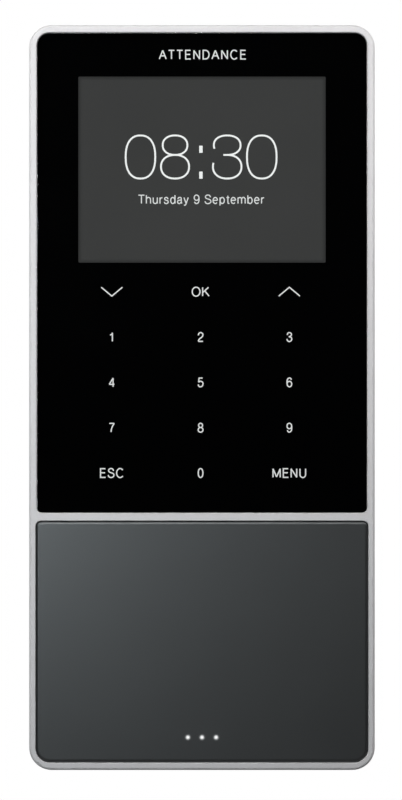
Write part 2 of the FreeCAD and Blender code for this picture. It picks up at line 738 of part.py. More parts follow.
def speaker_leads():
    """Two leads from the speaker to its plug on the main board."""
    points = [(-11.2, -70.0), (-14.0, -62.0), (-16.4, -50.0), (-16.4, -35.0)]
    return [round_lead(points, (0, 6.0, 8.0, 0), 0.4, x) for x in (-29.7, -28.3)]


def cover_screw_boss(x, z):
    """Boss of the rear cover that meets a post of the front frame, slimmer inside the frame."""
    wide = rod_y(x, z, POST_R - 0.1, -2.0, SPLIT_Y)
    return fuse(wide, rod_y(x, z, POST_R - 0.4, SPLIT_Y, POST_END_Y + FIT_GAP))


def bay_walls():
    """Box that forms the port bay inside the rear cover."""
    xs = (-BAY_X - BAY_WALL, BAY_X + BAY_WALL)
    return block(xs, (-6.0, BAY_FLOOR_Y - BAY_WALL), (BAY_BOTTOM - BAY_WALL, BAY_TOP + BAY_WALL))


def rear_cover_shell():
    """Tray with a lip, the recess for the wall plate, and a hollow rim round it."""
    outer = slab((-BACK_X, BACK_X), (-BACK_Z, BACK_Z), BACK_Y, SPLIT_Y, BACK_R)
    outer = outer.makeFillet(BACK_EDGE_R, edges_at(outer, BACK_Y))
    lip = slab((-46.7, 46.7), (-103.3, 103.3), SPLIT_Y, LIP_END_Y, 4.1)
    recess = slab((-RECESS_X, RECESS_X), (RECESS_BOTTOM, RECESS_TOP), BACK_Y, RECESS_FLOOR_Y, RECESS_R)
    inner_x = BACK_X - BACK_WALL
    inner_z = BACK_Z - BACK_WALL
    rim_y = BACK_Y - BACK_WALL
    hollow = slab((-inner_x, inner_x), (-inner_z, inner_z), rim_y, LIP_END_Y, BACK_R - BACK_WALL)
    core = slab(
        (-RECESS_X - BACK_WALL, RECESS_X + BACK_WALL),
        (RECESS_BOTTOM - BACK_WALL, RECESS_TOP + BACK_WALL),
        rim_y,
        FLOOR_INNER_Y,
        RECESS_R + BACK_WALL,
    )
    return cut(fuse(outer, lip), cut(hollow, core), recess)


def rear_cover_notch():
    """Walls and roof round the locking flange, with the boss of the screw insert."""
    walls = block((-NOTCH_X - 2, NOTCH_X + 2), (-2.8, NOTCH_DEEP_Y - 2), (-103.0, NOTCH_TOP + 2))
    return fuse(walls, rod_z(0, LOCK_Y, 3.3, NOTCH_TOP, -88.0))


def rear_cover_additions():
    """Everything that stands on the inside of the rear cover."""
    added = [bay_walls(), rear_cover_notch()]
    for x in (-POST_X, POST_X):
        for z in POST_ZS:
            added.append(cover_screw_boss(x, z))
    for x, z in BOARD_SCREWS:
        added.append(rod_y(x, z, 2.6, FLOOR_INNER_Y + 0.5, BOARD_BACK_Y))
    added.append(ring_y(SPEAKER_X, SPEAKER_Z, SPEAKER_R + 1.2, SPEAKER_R + 0.2, FLOOR_INNER_Y + 0.5, -10.0))
    added.append(block((44.2, 46.5), (-15.8, -4.6), (USB_Z - 13.0, USB_Z + 13.0)))
    return added


def usb_pocket():
    """Pocket, mouth, hinge groove and pin holes of the USB cover."""
    half = FLAP_HALF_H + 0.2
    pocket = block((46.2, 48.0), (-15.0, -5.2), (USB_Z - half, USB_Z + half))
    mouth_z = USB_H / 2 + 0.15
    mouth = block((44.0, 48.0), (USB_FRONT_Y - 0.15, USB_BACK_Y + 0.15), (USB_Z - mouth_z, USB_Z + mouth_z))
    groove = flap_barrel(1.0, USB_Z - half, USB_Z + half)
    pin_hole = flap_barrel(FLAP_PIN_R, USB_Z - half - 1.8, USB_Z + half + 1.8)
    scoop = rod_y(0, 0, 5.0, -14.0, -15.9)
    scoop.translate(Vector(51.4, 0, USB_Z))
    return [pocket, mouth, groove, pin_hole, scoop]


def vent_slots():
    """Upright vents at the top of the recess."""
    xs = [VENT_LEFT_X + VENT_PITCH * index for index in range(VENT_COUNT)]
    return [centred_slab(x, VENT_Z, VENT_W, VENT_H, -4.0, -8.0, 0.69) for x in xs]


def bottom_vents():
    """Slots through the bottom wall, each side of the notch."""
    slots = []
    for side in (-1, 1):
        for index in range(BOTTOM_VENT_COUNT):
            x = side * (BOTTOM_VENT_X + BOTTOM_VENT_PITCH * index)
            slots.append(block((x - VENT_W / 2, x + VENT_W / 2), (-12.5, -5.5), (-106.0, -101.0)))
    return slots


def grille_holes():
    """Rings of holes in front of the speaker."""
    holes = [rod_y(SPEAKER_X, SPEAKER_Z, GRILLE_HOLE_R, -4.0, -8.0)]
    for ring in range(1, GRILLE_RINGS + 1):
        for index in range(6 * ring):
            angle = 2 * math.pi * index / (6 * ring)
            x = SPEAKER_X + GRILLE_PITCH * ring * math.cos(angle)
            z = SPEAKER_Z + GRILLE_PITCH * ring * math.sin(angle)
            holes.append(rod_y(x, z, GRILLE_HOLE_R, -4.0, -8.0))
    return holes


def rear_cover_openings():
    """Every hole and pocket cut in the rear cover."""
    tools = [block((-BAY_X, BAY_X), (BACK_Y, BAY_FLOOR_Y), (BAY_BOTTOM, BAY_TOP))]
    for x, width, back in ((LAN_X, LAN_W, LAN_BACK_Y), (DC_X, DC_W, DC_BACK_Y)):
        half = width / 2 + 0.1
        tools.append(block((x - half, x + half), (-18.0, back + 0.1), (9.0, 12.0)))
    tools.append(rod_z(RESET_X, RESET_Y, RESET_R + 0.15, 9.0, 12.0))
    tools.append(block((-NOTCH_X, NOTCH_X), (0.0, NOTCH_DEEP_Y), (-106.0, NOTCH_TOP)))
    tools.append(block((-NOTCH_X, NOTCH_X), (0.0, RECESS_FLOOR_Y), (NOTCH_TOP - 0.5, RECESS_BOTTOM + 0.5)))
    tools.append(rod_z(0, LOCK_Y, 2.12, NOTCH_TOP, -91.8))
    tools.append(rod_z(0, LOCK_Y, 1.7, NOTCH_TOP, -89.5))
    tools.append(rod_y(TAMPER_X, TAMPER_Z, TAMPER_R + 0.2, -4.0, -8.0))
    for x in (-POST_X, POST_X):
        for z in POST_ZS:
            tools.append(rod_y(x, z, 2.5, 0.0, SCREW_SEAT_Y))
            tools.append(rod_y(x, z, 1.4, SCREW_SEAT_Y, POST_END_Y))
    for x, z in BOARD_SCREWS:
        tools.append(rod_y(x, z, 1.05, -10.0, BOARD_BACK_Y))
    half = HOOK_W / 2 + 0.5
    for x in (-HOOK_X, HOOK_X):
        for z in HOOK_ZS:
            tools.append(block((x - half, x + half), (-4.0, -8.0), (z + FIT_GAP - HOOK_SLOT_H, z + FIT_GAP)))
    for x in (-POST_X, POST_X):
        for z in PAD_ZS:
            tools.append(centred_slab(x, z, 5.0, 14.0, BACK_Y, -1.6, 2.4))
    return tools + usb_pocket() + vent_slots() + bottom_vents() + grille_holes()


def rear_cover():
    """Rear half of the case."""
    shell = fuse(rear_cover_shell(), *rear_cover_additions())
    return cut(shell, *rear_cover_openings())


def hook(x, z):
    """Tab bent out of the plate and up, with the top of its neck at z."""
    points = [(0.0, z - 3.5), (0.0, z), (HOOK_TAB_Y, z), (HOOK_TAB_Y, z + HOOK_TAB_H)]
    radii = (0, HOOK_BEND_R + PLATE_T, HOOK_BEND_R, 0)
    return bent_sheet(points, radii, PLATE_T, (x - HOOK_W / 2, x + HOOK_W / 2))


def tamper_tongue():
    """Sloping tongue that the tamper plunger rides on, lanced from the plate at its top."""
    centre_y = TAMPER_TIP_Y - TAMPER_R
    reach = (TAMPER_R + 0.02) * math.sqrt(1 + TAMPER_SLOPE**2)
    low = TAMPER_Z - 2.0
    high = TAMPER_Z + LIFT + 4.0

    def face_y(z):
        return centre_y + reach + TAMPER_SLOPE * (z - TAMPER_Z)

    front = [(face_y(low), low), (face_y(high), high)]
    back = [(y + PLATE_T, z) for y, z in reversed(front)]
    corners = [Vector(TAMPER_X - 3.0, y, z) for y, z in front + back]
    tongue = Part.Face(Part.makePolygon(corners + [corners[0]])).extrude(Vector(6.0, 0, 0))
    return tongue.common(block((-50, 50), (0.0, -10.0), (low, high)))


def wall_plate():
    """Sheet steel plate with wall holes, cable window, hooks, tongue and locking flange."""
    plate = slab((-PLATE_X, PLATE_X), (-PLATE_Z, PLATE_Z), 0.0, -PLATE_T, PLATE_R)
    cuts = [slab((-CABLE_X, CABLE_X), (CABLE_BOTTOM, CABLE_TOP), 0.0, -PLATE_T, 4.0)]
    for x in (-WALL_HOLE_X, WALL_HOLE_X):
        for z in (-WALL_HOLE_Z, WALL_HOLE_Z):
            cuts.append(rod_y(x, z, WALL_HOLE_R, 0.0, -PLATE_T))
    for x in (-HOOK_X, HOOK_X):
        for z in HOOK_ZS:
            root = z - HOOK_BEND_R - PLATE_T
            cuts.append(slab((x - 4.6, x + 4.6), (root, root + 14.0), 0.0, -PLATE_T, 0.8))
    cuts.append(slab((TAMPER_X - 3.6, TAMPER_X + 3.6), (TAMPER_Z - 3.0, TAMPER_Z + 8.5), 0.0, -PLATE_T, 0.8))
    plate = cut(plate, *cuts)
    flange_low = NOTCH_TOP - FIT_GAP - PLATE_T
    points = [(FLANGE_END_Y, flange_low), (0.0, flange_low), (0.0, -85.0)]
    flange = bent_sheet(points, (0, 1.0 + PLATE_T, 0), PLATE_T, (-FLANGE_X, FLANGE_X))
    flange = cut(flange, rod_z(0, LOCK_Y, 1.7, -102.0, -95.0))
    hooks = [hook(x, z) for x in (-HOOK_X, HOOK_X) for z in HOOK_ZS]
    return fuse(plate, tamper_tongue(), flange, *hooks)


def locking_screw():
    """Button-head screw up through the flange."""
    seat = NOTCH_TOP - FIT_GAP - PLATE_T
    head = rod_z(0, LOCK_Y, 2.75, seat - 2.0, seat)
    head = head.makeFillet(0.8, [edge for edge in head.Edges if edge.BoundBox.ZMax < seat - 1.9])
    shank = rod_z(0, LOCK_Y, 1.5, seat, seat + 8.4)
    socket = rod_z(0, LOCK_Y, 1.1, seat - 2.0, seat - 0.9)
    return cut(fuse(head, shank), socket)


def save_display():
    """Display module, gasket and flex."""
    save("display_gasket", display_gasket())
    save("lcd_panel", slab((-PANEL_X, PANEL_X), (PANEL_BOTTOM, PANEL_TOP), PANEL_BACK_Y, PANEL_FRONT_Y, 0.3))
    backlight_x = PANEL_X - 0.2
    backlight_zs = (PANEL_BOTTOM + 0.2, BACKLIGHT_TOP)
    backlight_back = TRAY_BACK_Y - TRAY_WALL
    save("backlight_unit", slab((-backlight_x, backlight_x), backlight_zs, backlight_back, PANEL_BACK_Y))
    save("display_tray", display_tray())
    save("display_flex", display_flex())


def save_keypad():
    """Touch board and what is on it."""
    save("keypad_board", keypad_board())
    save("key_leds", *key_leds())
    save("touch_controller", centred_slab(-12.0, -27.0, 5.0, 5.0, KEYPAD_BACK_Y + 0.9, KEYPAD_BACK_Y))
    save("keypad_cable", keypad_cable())
    save("ffc_connectors", *ffc_connectors())


def save_front():
    """Frame, glass and support plate."""
    save("front_frame", front_frame())
    save("touch_glass", touch_glass())
    save("graphic_film", graphic_film())
    save("glass_adhesive", glass_adhesive())
    save("support_plate", support_plate())
    save("foam_pads", *foam_pads())
    screws = [screw_y(x, z, SUPPORT_BACK_Y, -26.2, 0.8, 1.8, 1.1, 1) for x, z in SUPPORT_SCREWS]
    save("support_screws", *screws)


def save_reader():
    """Lower cover and card reader."""
    save("lower_cover", lower_cover())
    save("status_light_pipes", status_light_pipes())
    save("status_leds", *[centred_slab(x, STATUS_Z, 1.6, 0.8, READER_FRONT_Y, -28.0) for x in status_xs()])
    save("reader_board", reader_board())
    save("antenna_coil", antenna_coil())
    save("reader_chip", centred_slab(18.0, -66.0, 6.0, 6.0, READER_BACK_Y + 0.9, READER_BACK_Y))
    save("reader_cable", reader_cable())
    save("reader_screws", *[screw_y(x, z, READER_BACK_Y, -29.6, 0.8, 1.8, 1.1, 1) for x, z in READER_SCREWS])


def save_main_board():
    """Main board and the parts soldered to it."""
    save("main_board", main_board())
    save("board_screws", *[screw_y(x, z, BOARD_FRONT_Y, -12.0, 1.0, 2.0, 1.3, -1) for x, z in BOARD_SCREWS])
    save("processor", centred_slab(8.0, 56.0, 14.0, 14.0, BOARD_FRONT_Y, -21.4))
    save("shield_can", shield_can())
    save("board_chips", *board_chips())
    save("capacitors", *capacitors())
    save("wifi_module", centred_slab(-22.0, 56.0, 16.0, 20.0, BOARD_FRONT_Y, -22.2, 0.5))
    save("coin_cell_holder", coin_cell_holder())
    save("coin_cell", coin_cell())


def save_ports():
    """Sockets, switches and the USB cover."""
    save("lan_jack", lan_jack())
    save("lan_contacts", *lan_contacts())
    save("dc_jack", dc_jack())
    save("dc_jack_pin", rod_z(DC_X, DC_AXIS_Y, 1.0, 12.0, 20.2))
    save("usb_shell", usb_shell())
    save("usb_insulator", usb_insulator())
    save("usb_riser", block((32.0, 43.6), (BOARD_BACK_Y, USB_FRONT_Y), (USB_Z - 6.0, USB_Z + 6.0)))
    save("usb_cover", usb_cover())
    save("usb_hinge_pin", flap_barrel(FLAP_PIN_R, USB_Z - 12.0, USB_Z + 12.0))
    save("reset_switch", reset_switch())
    save("reset_button", reset_button())
    save("tamper_switch", tamper_switch())
    save("tamper_plunger", tamper_plunger())


def save_speaker():
    """Speaker, gasket, leads and plug."""
    save("speaker_gasket", ring_y(SPEAKER_X, SPEAKER_Z, SPEAKER_R, SPEAKER_R - 1.6, FLOOR_INNER_Y, -7.5))
    save("speaker_frame", speaker_frame())
    save("speaker_cone", speaker_cone())
    save("speaker_magnet", rod_y(SPEAKER_X, SPEAKER_Z, 8.0, -10.4, -13.4))
    save("speaker_leads", *speaker_leads())
    save("speaker_plug", block((-31.5, -26.5), (BOARD_BACK_Y, -14.2), (-35.0, -30.0)))


def save_back():
    """Rear cover with its fasteners, pads and label."""
    save("rear_cover", rear_cover())
    places = [(x, z) for x in (-POST_X, POST_X) for z in POST_ZS]
    save("case_screws", *[screw_y(x, z, SCREW_SEAT_Y, -24.0, 1.2, 2.3, 1.8, 1) for x, z in places])
    insert = cut(rod_z(0, LOCK_Y, 2.1, NOTCH_TOP + 0.1, -91.9), rod_z(0, LOCK_Y, 1.55, NOTCH_TOP, -91.9))
    save("screw_insert", insert)
    pads = [centred_slab(x, z, 4.9, 13.9, -0.1, -1.6, 2.3) for x in (-POST_X, POST_X) for z in PAD_ZS]
    save("bumper_pads", *pads)
    save("blank_label", centred_slab(18.0, -84.0, 34.0, 16.0, RECESS_FLOOR_Y + 0.15, RECESS_FLOOR_Y, 1.0))


def save_plate():
    """Wall plate and locking screw."""
    save("wall_plate", wall_plate())
    save("locking_screw", locking_screw())


def main():
    """Write every node."""
    os.makedirs("parts", exist_ok=True)
    save_front()
    save_display()
    save_keypad()
    save_reader()
    save_main_board()
    save_ports()
    save_speaker()
    save_back()
    save_plate()


main()
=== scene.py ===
import json
import math
import random

import bpy
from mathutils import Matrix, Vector


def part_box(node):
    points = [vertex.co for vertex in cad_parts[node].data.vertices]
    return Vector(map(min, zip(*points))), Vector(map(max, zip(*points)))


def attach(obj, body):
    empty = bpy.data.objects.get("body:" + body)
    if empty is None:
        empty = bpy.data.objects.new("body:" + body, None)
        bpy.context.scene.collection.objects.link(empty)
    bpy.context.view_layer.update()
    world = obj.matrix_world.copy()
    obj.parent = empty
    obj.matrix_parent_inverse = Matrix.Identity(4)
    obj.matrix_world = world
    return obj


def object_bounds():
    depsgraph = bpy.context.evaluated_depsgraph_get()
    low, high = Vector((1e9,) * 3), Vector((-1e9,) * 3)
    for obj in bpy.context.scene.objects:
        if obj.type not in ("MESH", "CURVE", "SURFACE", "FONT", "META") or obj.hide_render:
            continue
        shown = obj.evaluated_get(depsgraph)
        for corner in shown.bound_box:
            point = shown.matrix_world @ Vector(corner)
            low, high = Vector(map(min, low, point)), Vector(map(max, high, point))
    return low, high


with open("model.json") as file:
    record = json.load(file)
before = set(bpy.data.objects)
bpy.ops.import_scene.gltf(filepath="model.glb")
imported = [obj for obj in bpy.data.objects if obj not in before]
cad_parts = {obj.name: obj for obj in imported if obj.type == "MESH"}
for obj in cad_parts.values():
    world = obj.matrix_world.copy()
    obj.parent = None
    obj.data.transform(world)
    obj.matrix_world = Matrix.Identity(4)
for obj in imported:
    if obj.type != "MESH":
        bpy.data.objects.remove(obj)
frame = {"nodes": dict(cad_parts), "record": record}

# Looks of a wall-mounted attendance terminal. Metres, in the frame of the design:
# +X right, +Z up, the front faces -Y and the wall is the plane y = 0.

CAD_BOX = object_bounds()
MM = 0.001

# The camera sees this height at the front of the object, and the object's middle lies this far
# right of and above the middle of the picture.
VIEW_HEIGHT = 226.7 * MM
VIEW_RIGHT = 0.28 * MM
VIEW_UP = 0.7 * MM
LENS_MM = 200.0
SENSOR_MM = 36.0

# Lettering behind the glass and on the display.
LEGEND_H = 2.45 * MM
LEGEND_STROKE = 0.34 * MM
LEGEND_BROAD = 1.12
ARROW_W = 6.0 * MM
ARROW_RISE = 2.5 * MM
CLOCK_H = 12.75 * MM
CLOCK_STROKE = 0.5 * MM
CLOCK_BASE_Z = 61.93 * MM
CLOCK_DIGIT_XS = (-17.47 * MM, -7.65 * MM, 7.16 * MM, 16.98 * MM)
COLON_X = -0.31 * MM
COLON_ZS = (70.5 * MM, 63.15 * MM)
COLON_DOT_W = 0.95 * MM
COLON_DOT_H = 2.0 * MM
DATE_H = 2.36 * MM
DATE_BASE_Z = 55.1 * MM
DATE_W = 35.7 * MM
DATE_X = -0.2 * MM
DATE_STROKE = 0.3 * MM
DATE_BROAD = 1.2
HEADER_Z = 96.1 * MM
HEADER_H = 2.45 * MM
HEADER_W = 24.6 * MM
HEADER_X = 0.2 * MM
KEY_PITCH_X = 25.2 * MM
KEY_PITCH_Z = 12.87 * MM
KEY_CENTRE_X = -0.4 * MM
KEY_TOP_Z = 30.05 * MM
KEY_COLUMNS = 3
KEY_ROWS = 5
INK = 0.03 * MM
SHARP_TURN = -0.17  # cosine of the turn at which a stroke is cut
MITRE_LIMIT = 2.2  # how far a corner of a stroke may reach, for a half width of 1

# The display: the middle of its window, and its lit area with a soft border, darkened by painted shade
# towards the window's edge.
WINDOW_Z = 64.7 * MM
LIT_HALF_W = 34.4 * MM
LIT_HALF_H = 25.7 * MM
LIT_SOFT = 0.35 * MM

NODES = frame["nodes"]
FILM_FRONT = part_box("graphic_film")[0].y
PANEL_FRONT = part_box("lcd_panel")[0].y

# The three status lights in a row, each with a bright core, and the light that spills round it.
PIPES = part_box("status_light_pipes")
STATUS_Z = (PIPES[0].z + PIPES[1].z) / 2
STATUS_PITCH = 4.0 * MM
STATUS_R = 0.65 * MM
STATUS_CORE_R = 0.1 * MM
STATUS_SPILL_R = 1.1 * MM
STATUS_COLOUR = (1.0, 0.99, 0.97, 1.0)

GLOSS_TINT = (0.94, 0.98, 1.0, 1.0)  # of the lower cover's sheen


# ---------------------------------------------------------------- materials

class Shade:
    """A material under construction: one Principled shader fed by patterns in object space."""

    def __init__(self, name):
        self.mat = bpy.data.materials.new(name)
        self.mat.use_nodes = True
        self.tree = self.mat.node_tree
        self.shader = self.tree.nodes["Principled BSDF"]
        self.output = self.tree.nodes["Material Output"]
        self.place = self.node("ShaderNodeTexCoord").outputs["Object"]

    def node(self, kind, **settings):
        """A node with its properties set."""
        made = self.tree.nodes.new(kind)
        for key, value in settings.items():
            setattr(made, key, value)
        return made

    def join(self, source, target):
        """Feeds a socket, or sets it to a plain value."""
        if isinstance(source, bpy.types.NodeSocket):
            self.tree.links.new(source, target)
        else:
            target.default_value = source

    def math(self, operation, *values):
        """Result of a maths node."""
        made = self.node("ShaderNodeMath", operation=operation)
        for socket, value in zip(made.inputs, values):
            self.join(value, socket)
        return made.outputs[0]

    def axis(self, letter):
        """Object coordinate along one axis."""
        made = self.node("ShaderNodeSeparateXYZ")
        self.join(self.place, made.inputs[0])
        return made.outputs[letter]

    def stretched(self, stretch):
        """Object coordinates scaled along each axis."""
        made = self.node("ShaderNodeMapping")
        self.join(self.place, made.inputs["Vector"])
        made.inputs["Scale"].default_value = stretch
        return made.outputs[0]

    def noise(self, scale, stretch=(1, 1, 1), detail=3.0, rough=0.5):
        """Soft noise, 0 to 1, with scale in features per metre."""
        made = self.node("ShaderNodeTexNoise")
        self.join(self.stretched(stretch), made.inputs["Vector"])
        made.inputs["Scale"].default_value = scale
        made.inputs["Detail"].default_value = detail
        made.inputs["Roughness"].default_value = rough
        return made.outputs["Fac"]

    def cells(self, scale, stretch=(1, 1, 1), feature="F1", metric="EUCLIDEAN", output="Distance"):
        """Voronoi cells."""
        made = self.node("ShaderNodeTexVoronoi", feature=feature)
        if feature == "F1":
            made.distance = metric
        self.join(self.stretched(stretch), made.inputs["Vector"])
        made.inputs["Scale"].default_value = scale
        return made.outputs[output]

    def ramp(self, value, low, high, out_low=0.0, out_high=1.0):
        """Value mapped from one range to another, held at its ends."""
        made = self.node("ShaderNodeMapRange")
        for name, number in (("Value", value), ("From Min", low), ("From Max", high)):
            self.join(number, made.inputs[name])
        made.inputs["To Min"].default_value = out_low
        made.inputs["To Max"].default_value = out_high
        return made.outputs[0]

    def mix(self, factor, first, second):
        """Colour between two others."""
        made = self.node("ShaderNodeMix", data_type="RGBA")
        self.join(factor, made.inputs[0])
        for colour, index in ((first, 6), (second, 7)):
            plain = not isinstance(colour, bpy.types.NodeSocket)
            self.join((*colour, 1.0) if plain else colour, made.inputs[index])
        return made.outputs[2]

    def bump(self, height, depth, strength=1.0, under=None):
        """Normal from a height pattern, with depth in metres."""
        made = self.node("ShaderNodeBump")
        self.join(height, made.inputs["Height"])
        made.inputs["Distance"].default_value = depth
        made.inputs["Strength"].default_value = strength
        if under is not None:
            self.join(under, made.inputs["Normal"])
        return made.outputs[0]

    def set(self, **values):
        """Feeds the shader's inputs, named with underscores for spaces."""
        for name, value in values.items():
            self.join(value, self.shader.inputs[name.replace("_", " ")])
        return self


def lighter(colour, factor):
    """Colour scaled in brightness."""
    return tuple(min(1.0, channel * factor) for channel in colour)


def moulded(name, colour, rough=0.5, spread=0.08, grain=2500, depth=0.00002, vary=0.12, **more):
    """Moulded plastic: slow colour drift, uneven sheen and a fine spark-eroded grain."""
    shade = Shade(name)
    drift = shade.noise(35.0, detail=4.0)
    fine = shade.noise(grain, detail=2.0)
    base = shade.mix(drift, lighter(colour, 1 - vary), lighter(colour, 1 + vary))
    roughness = shade.ramp(shade.noise(140.0, detail=5.0), 0.3, 0.7, rough - spread, rough + spread)
    shade.set(Base_Color=base, Roughness=roughness, Normal=shade.bump(fine, depth, 0.6), **more)
    return shade.mat


def metal(name, colour, rough=0.3, stretch=(1, 1, 1), grain=900, depth=0.00001, vary=0.1, **more):
    """Bare or plated metal: streaks along the rolling direction and faint blotches."""
    shade = Shade(name)
    streak = shade.noise(grain, stretch, detail=4.0, rough=0.6)
    blotch = shade.noise(160.0, detail=3.0)
    tone = shade.math("MULTIPLY_ADD", blotch, 0.3, shade.math("MULTIPLY", streak, 0.7))
    base = shade.mix(tone, lighter(colour, 1 - vary), lighter(colour, 1 + vary))
    roughness = shade.ramp(tone, 0.3, 0.7, rough - 0.05, rough + 0.06)
    normal = shade.bump(streak, depth, 0.5)
    shade.set(Base_Color=base, Metallic=1.0, Roughness=roughness, Normal=normal, **more)
    return shade.mat


def silver_paint():
    """Satin silver paint: fine flake sparkle over a smooth moulding."""
    shade = Shade("silver_paint")
    flake = shade.cells(5200.0, output="Color")
    value = shade.node("ShaderNodeSeparateColor")
    shade.join(flake, value.inputs[0])
    drift = shade.noise(30.0, detail=3.0)
    base = shade.mix(value.outputs[0], (0.554, 0.540, 0.543), (0.597, 0.583, 0.586))
    base = shade.mix(shade.math("MULTIPLY", drift, 0.25), base, (0.498, 0.484, 0.487))
    peel = shade.noise(700.0, detail=2.0)
    roughness = shade.ramp(shade.noise(220.0, detail=4.0), 0.3, 0.7, 0.5, 0.56)
    shade.set(Base_Color=base, Roughness=roughness, Normal=shade.bump(peel, 0.000008, 0.5))
    return shade.mat


def light_distance(shade):
    """Distance from the axis of the nearest status light."""
    down = shade.math("SUBTRACT", shade.axis("Z"), STATUS_Z)
    nearest = None
    for x in (-STATUS_PITCH, 0.0, STATUS_PITCH):
        across = shade.math("SUBTRACT", shade.axis("X"), x)
        squares = shade.math("MULTIPLY_ADD", across, across, shade.math("MULTIPLY", down, down))
        radius = shade.math("SQRT", squares)
        nearest = radius if nearest is None else shade.math("MINIMUM", nearest, radius)
    return nearest


def black_print():
    """Matt black ink behind glass, so deep that it gives no sheen of its own."""
    ink = (0.0008, 0.0008, 0.0009)
    return moulded("black_print", ink, 0.55, 0.06, 1500, 0.000002, Specular_IOR_Level=0.0)


def slate_plastic():
    """Satin slate-grey plastic of the lower cover, with a painted glow of the three lights round them."""
    shade = Shade("slate_plastic")
    drift = shade.noise(28.0, detail=4.0)
    base = shade.mix(drift, (0.0122, 0.0116, 0.0110), (0.0140, 0.0134, 0.0128))
    grain = shade.noise(3200.0, detail=2.0)
    roughness = shade.ramp(shade.noise(90.0, detail=2.0), 0.3, 0.7, 0.42, 0.435)
    normal = shade.bump(grain, 0.000012, 0.5)
    shade.set(Base_Color=base, Roughness=roughness, Normal=normal)
    shade.set(Coat_Weight=1.0, Coat_Roughness=roughness, Coat_Normal=normal)
    shade.set(Coat_Tint=GLOSS_TINT, Specular_Tint=GLOSS_TINT)
    # Painted light: the cover itself glows faintly round each status light, fading out by STATUS_SPILL_R.
    painted_glow = shade.ramp(light_distance(shade), STATUS_R, STATUS_SPILL_R, 0.1, 0.0)
    shade.set(Emission_Color=STATUS_COLOUR, Emission_Strength=painted_glow)
    return shade.mat


def clear_glass():
    """Clear cover glass: what is behind shows through, with a mirror sheen by angle."""
    shade = Shade("clear_glass")
    smudge = shade.noise(45.0, detail=5.0)
    roughness = shade.ramp(smudge, 0.35, 0.75, 0.015, 0.06)
    through = shade.node("ShaderNodeBsdfTransparent")
    tint = shade.mix(smudge, (0.93, 0.945, 0.94), (0.95, 0.96, 0.955))
    shade.join(tint, through.inputs["Color"])
    sheen = shade.node("ShaderNodeBsdfGlossy")
    shade.join(roughness, sheen.inputs["Roughness"])
    slant = shade.node("ShaderNodeLayerWeight")
    slant.inputs["Blend"].default_value = 0.5
    mirror = shade.math("MULTIPLY_ADD", shade.math("POWER", slant.outputs["Facing"], 5.0), 0.96, 0.04)
    both = shade.node("ShaderNodeMixShader")
    shade.join(mirror, both.inputs[0])
    shade.join(through.outputs[0], both.inputs[1])
    shade.join(sheen.outputs[0], both.inputs[2])
    shade.tree.nodes.remove(shade.shader)
    shade.join(both.outputs[0], shade.output.inputs["Surface"])
    return shade.mat


def display_panel():
    """Lit display: an even dark grey, with painted shade that makes it a little darker at its border and
    outside it.
    """
    shade = Shade("display_glass")
    across = shade.math("ABSOLUTE", shade.axis("X"))
    up = shade.math("ABSOLUTE", shade.math("SUBTRACT", shade.axis("Z"), WINDOW_Z))
    # Painted shade: the glow dims from the lit area towards its border and outside it, as shade at the
    # window's edge.
    inside_x = shade.ramp(across, LIT_HALF_W - LIT_SOFT, LIT_HALF_W + LIT_SOFT, 1.0, 0.0)
    inside_z = shade.ramp(up, LIT_HALF_H - LIT_SOFT, LIT_HALF_H + LIT_SOFT, 1.0, 0.0)
    inside = shade.math("MULTIPLY", inside_x, inside_z)
    glow = shade.mix(inside, (0.034, 0.034, 0.034), (0.0482, 0.0482, 0.0482))
    cloud = shade.noise(40.0, detail=3.0)
    strength = shade.ramp(cloud, 0.3, 0.7, 0.985, 1.03)
    shade.set(Base_Color=(0.004, 0.004, 0.004, 1.0), Roughness=shade.ramp(cloud, 0.3, 0.7, 0.32, 0.4))
    shade.set(Emission_Color=glow, Emission_Strength=strength, Specular_IOR_Level=0.02)
    return shade.mat


def glowing(name, colour, strength, vary=0.04):
    """Lit print or lamp, with a faint unevenness."""
    shade = Shade(name)
    cloud = shade.noise(900.0, detail=3.0)
    glow = shade.mix(cloud, lighter(colour, 1 - vary), lighter(colour, 1 + vary))
    shade.set(Base_Color=(0.1, 0.1, 0.1, 1.0), Roughness=shade.ramp(cloud, 0.3, 0.7, 0.4, 0.6))
    shade.set(Emission_Color=glow, Emission_Strength=strength)
    return shade.mat


def light_pipe():
    """Clear pin, bright in its middle and dim at its rim."""
    shade = Shade("light_pipe")
    core = shade.ramp(light_distance(shade), STATUS_CORE_R, STATUS_R, 1.0, 0.06)
    cloud = shade.ramp(shade.noise(2500.0), 0.3, 0.7, 0.95, 1.05)
    shade.set(Base_Color=shade.mix(cloud, (0.2, 0.21, 0.22), (0.24, 0.25, 0.26)))
    shade.set(Roughness=shade.ramp(shade.noise(800.0), 0.3, 0.7, 0.15, 0.3))
    shade.set(Emission_Color=STATUS_COLOUR, Emission_Strength=shade.math("MULTIPLY", core, cloud))
    return shade.mat


def circuit_board(name, mask, copper, scale):
    """Solder mask over etched tracks and pads, with the weave faint beneath."""
    shade = Shade(name)
    tracks = shade.cells(scale, (1.0, 1.0, 1.7), "F1", "CHEBYCHEV")
    lines = shade.math("LESS_THAN", shade.math("ABSOLUTE", shade.math("SUBTRACT", tracks, 0.42)), 0.05)
    fine = shade.math("LESS_THAN", shade.math("FRACT", shade.math("MULTIPLY", tracks, 7.0)), 0.35)
    pattern = shade.math("MAXIMUM", lines, shade.math("MULTIPLY", fine, 0.45))
    weave = shade.noise(2400.0, (1, 1, 0.3), detail=2.0)
    base = shade.mix(shade.math("MULTIPLY", pattern, 0.6), mask, copper)
    base = shade.mix(shade.math("MULTIPLY", weave, 0.25), base, lighter(mask, 0.6))
    normal = shade.bump(pattern, 0.00003, 0.7)
    shade.set(Base_Color=base, Roughness=shade.ramp(weave, 0.3, 0.7, 0.25, 0.38), Normal=normal)
    return shade.mat


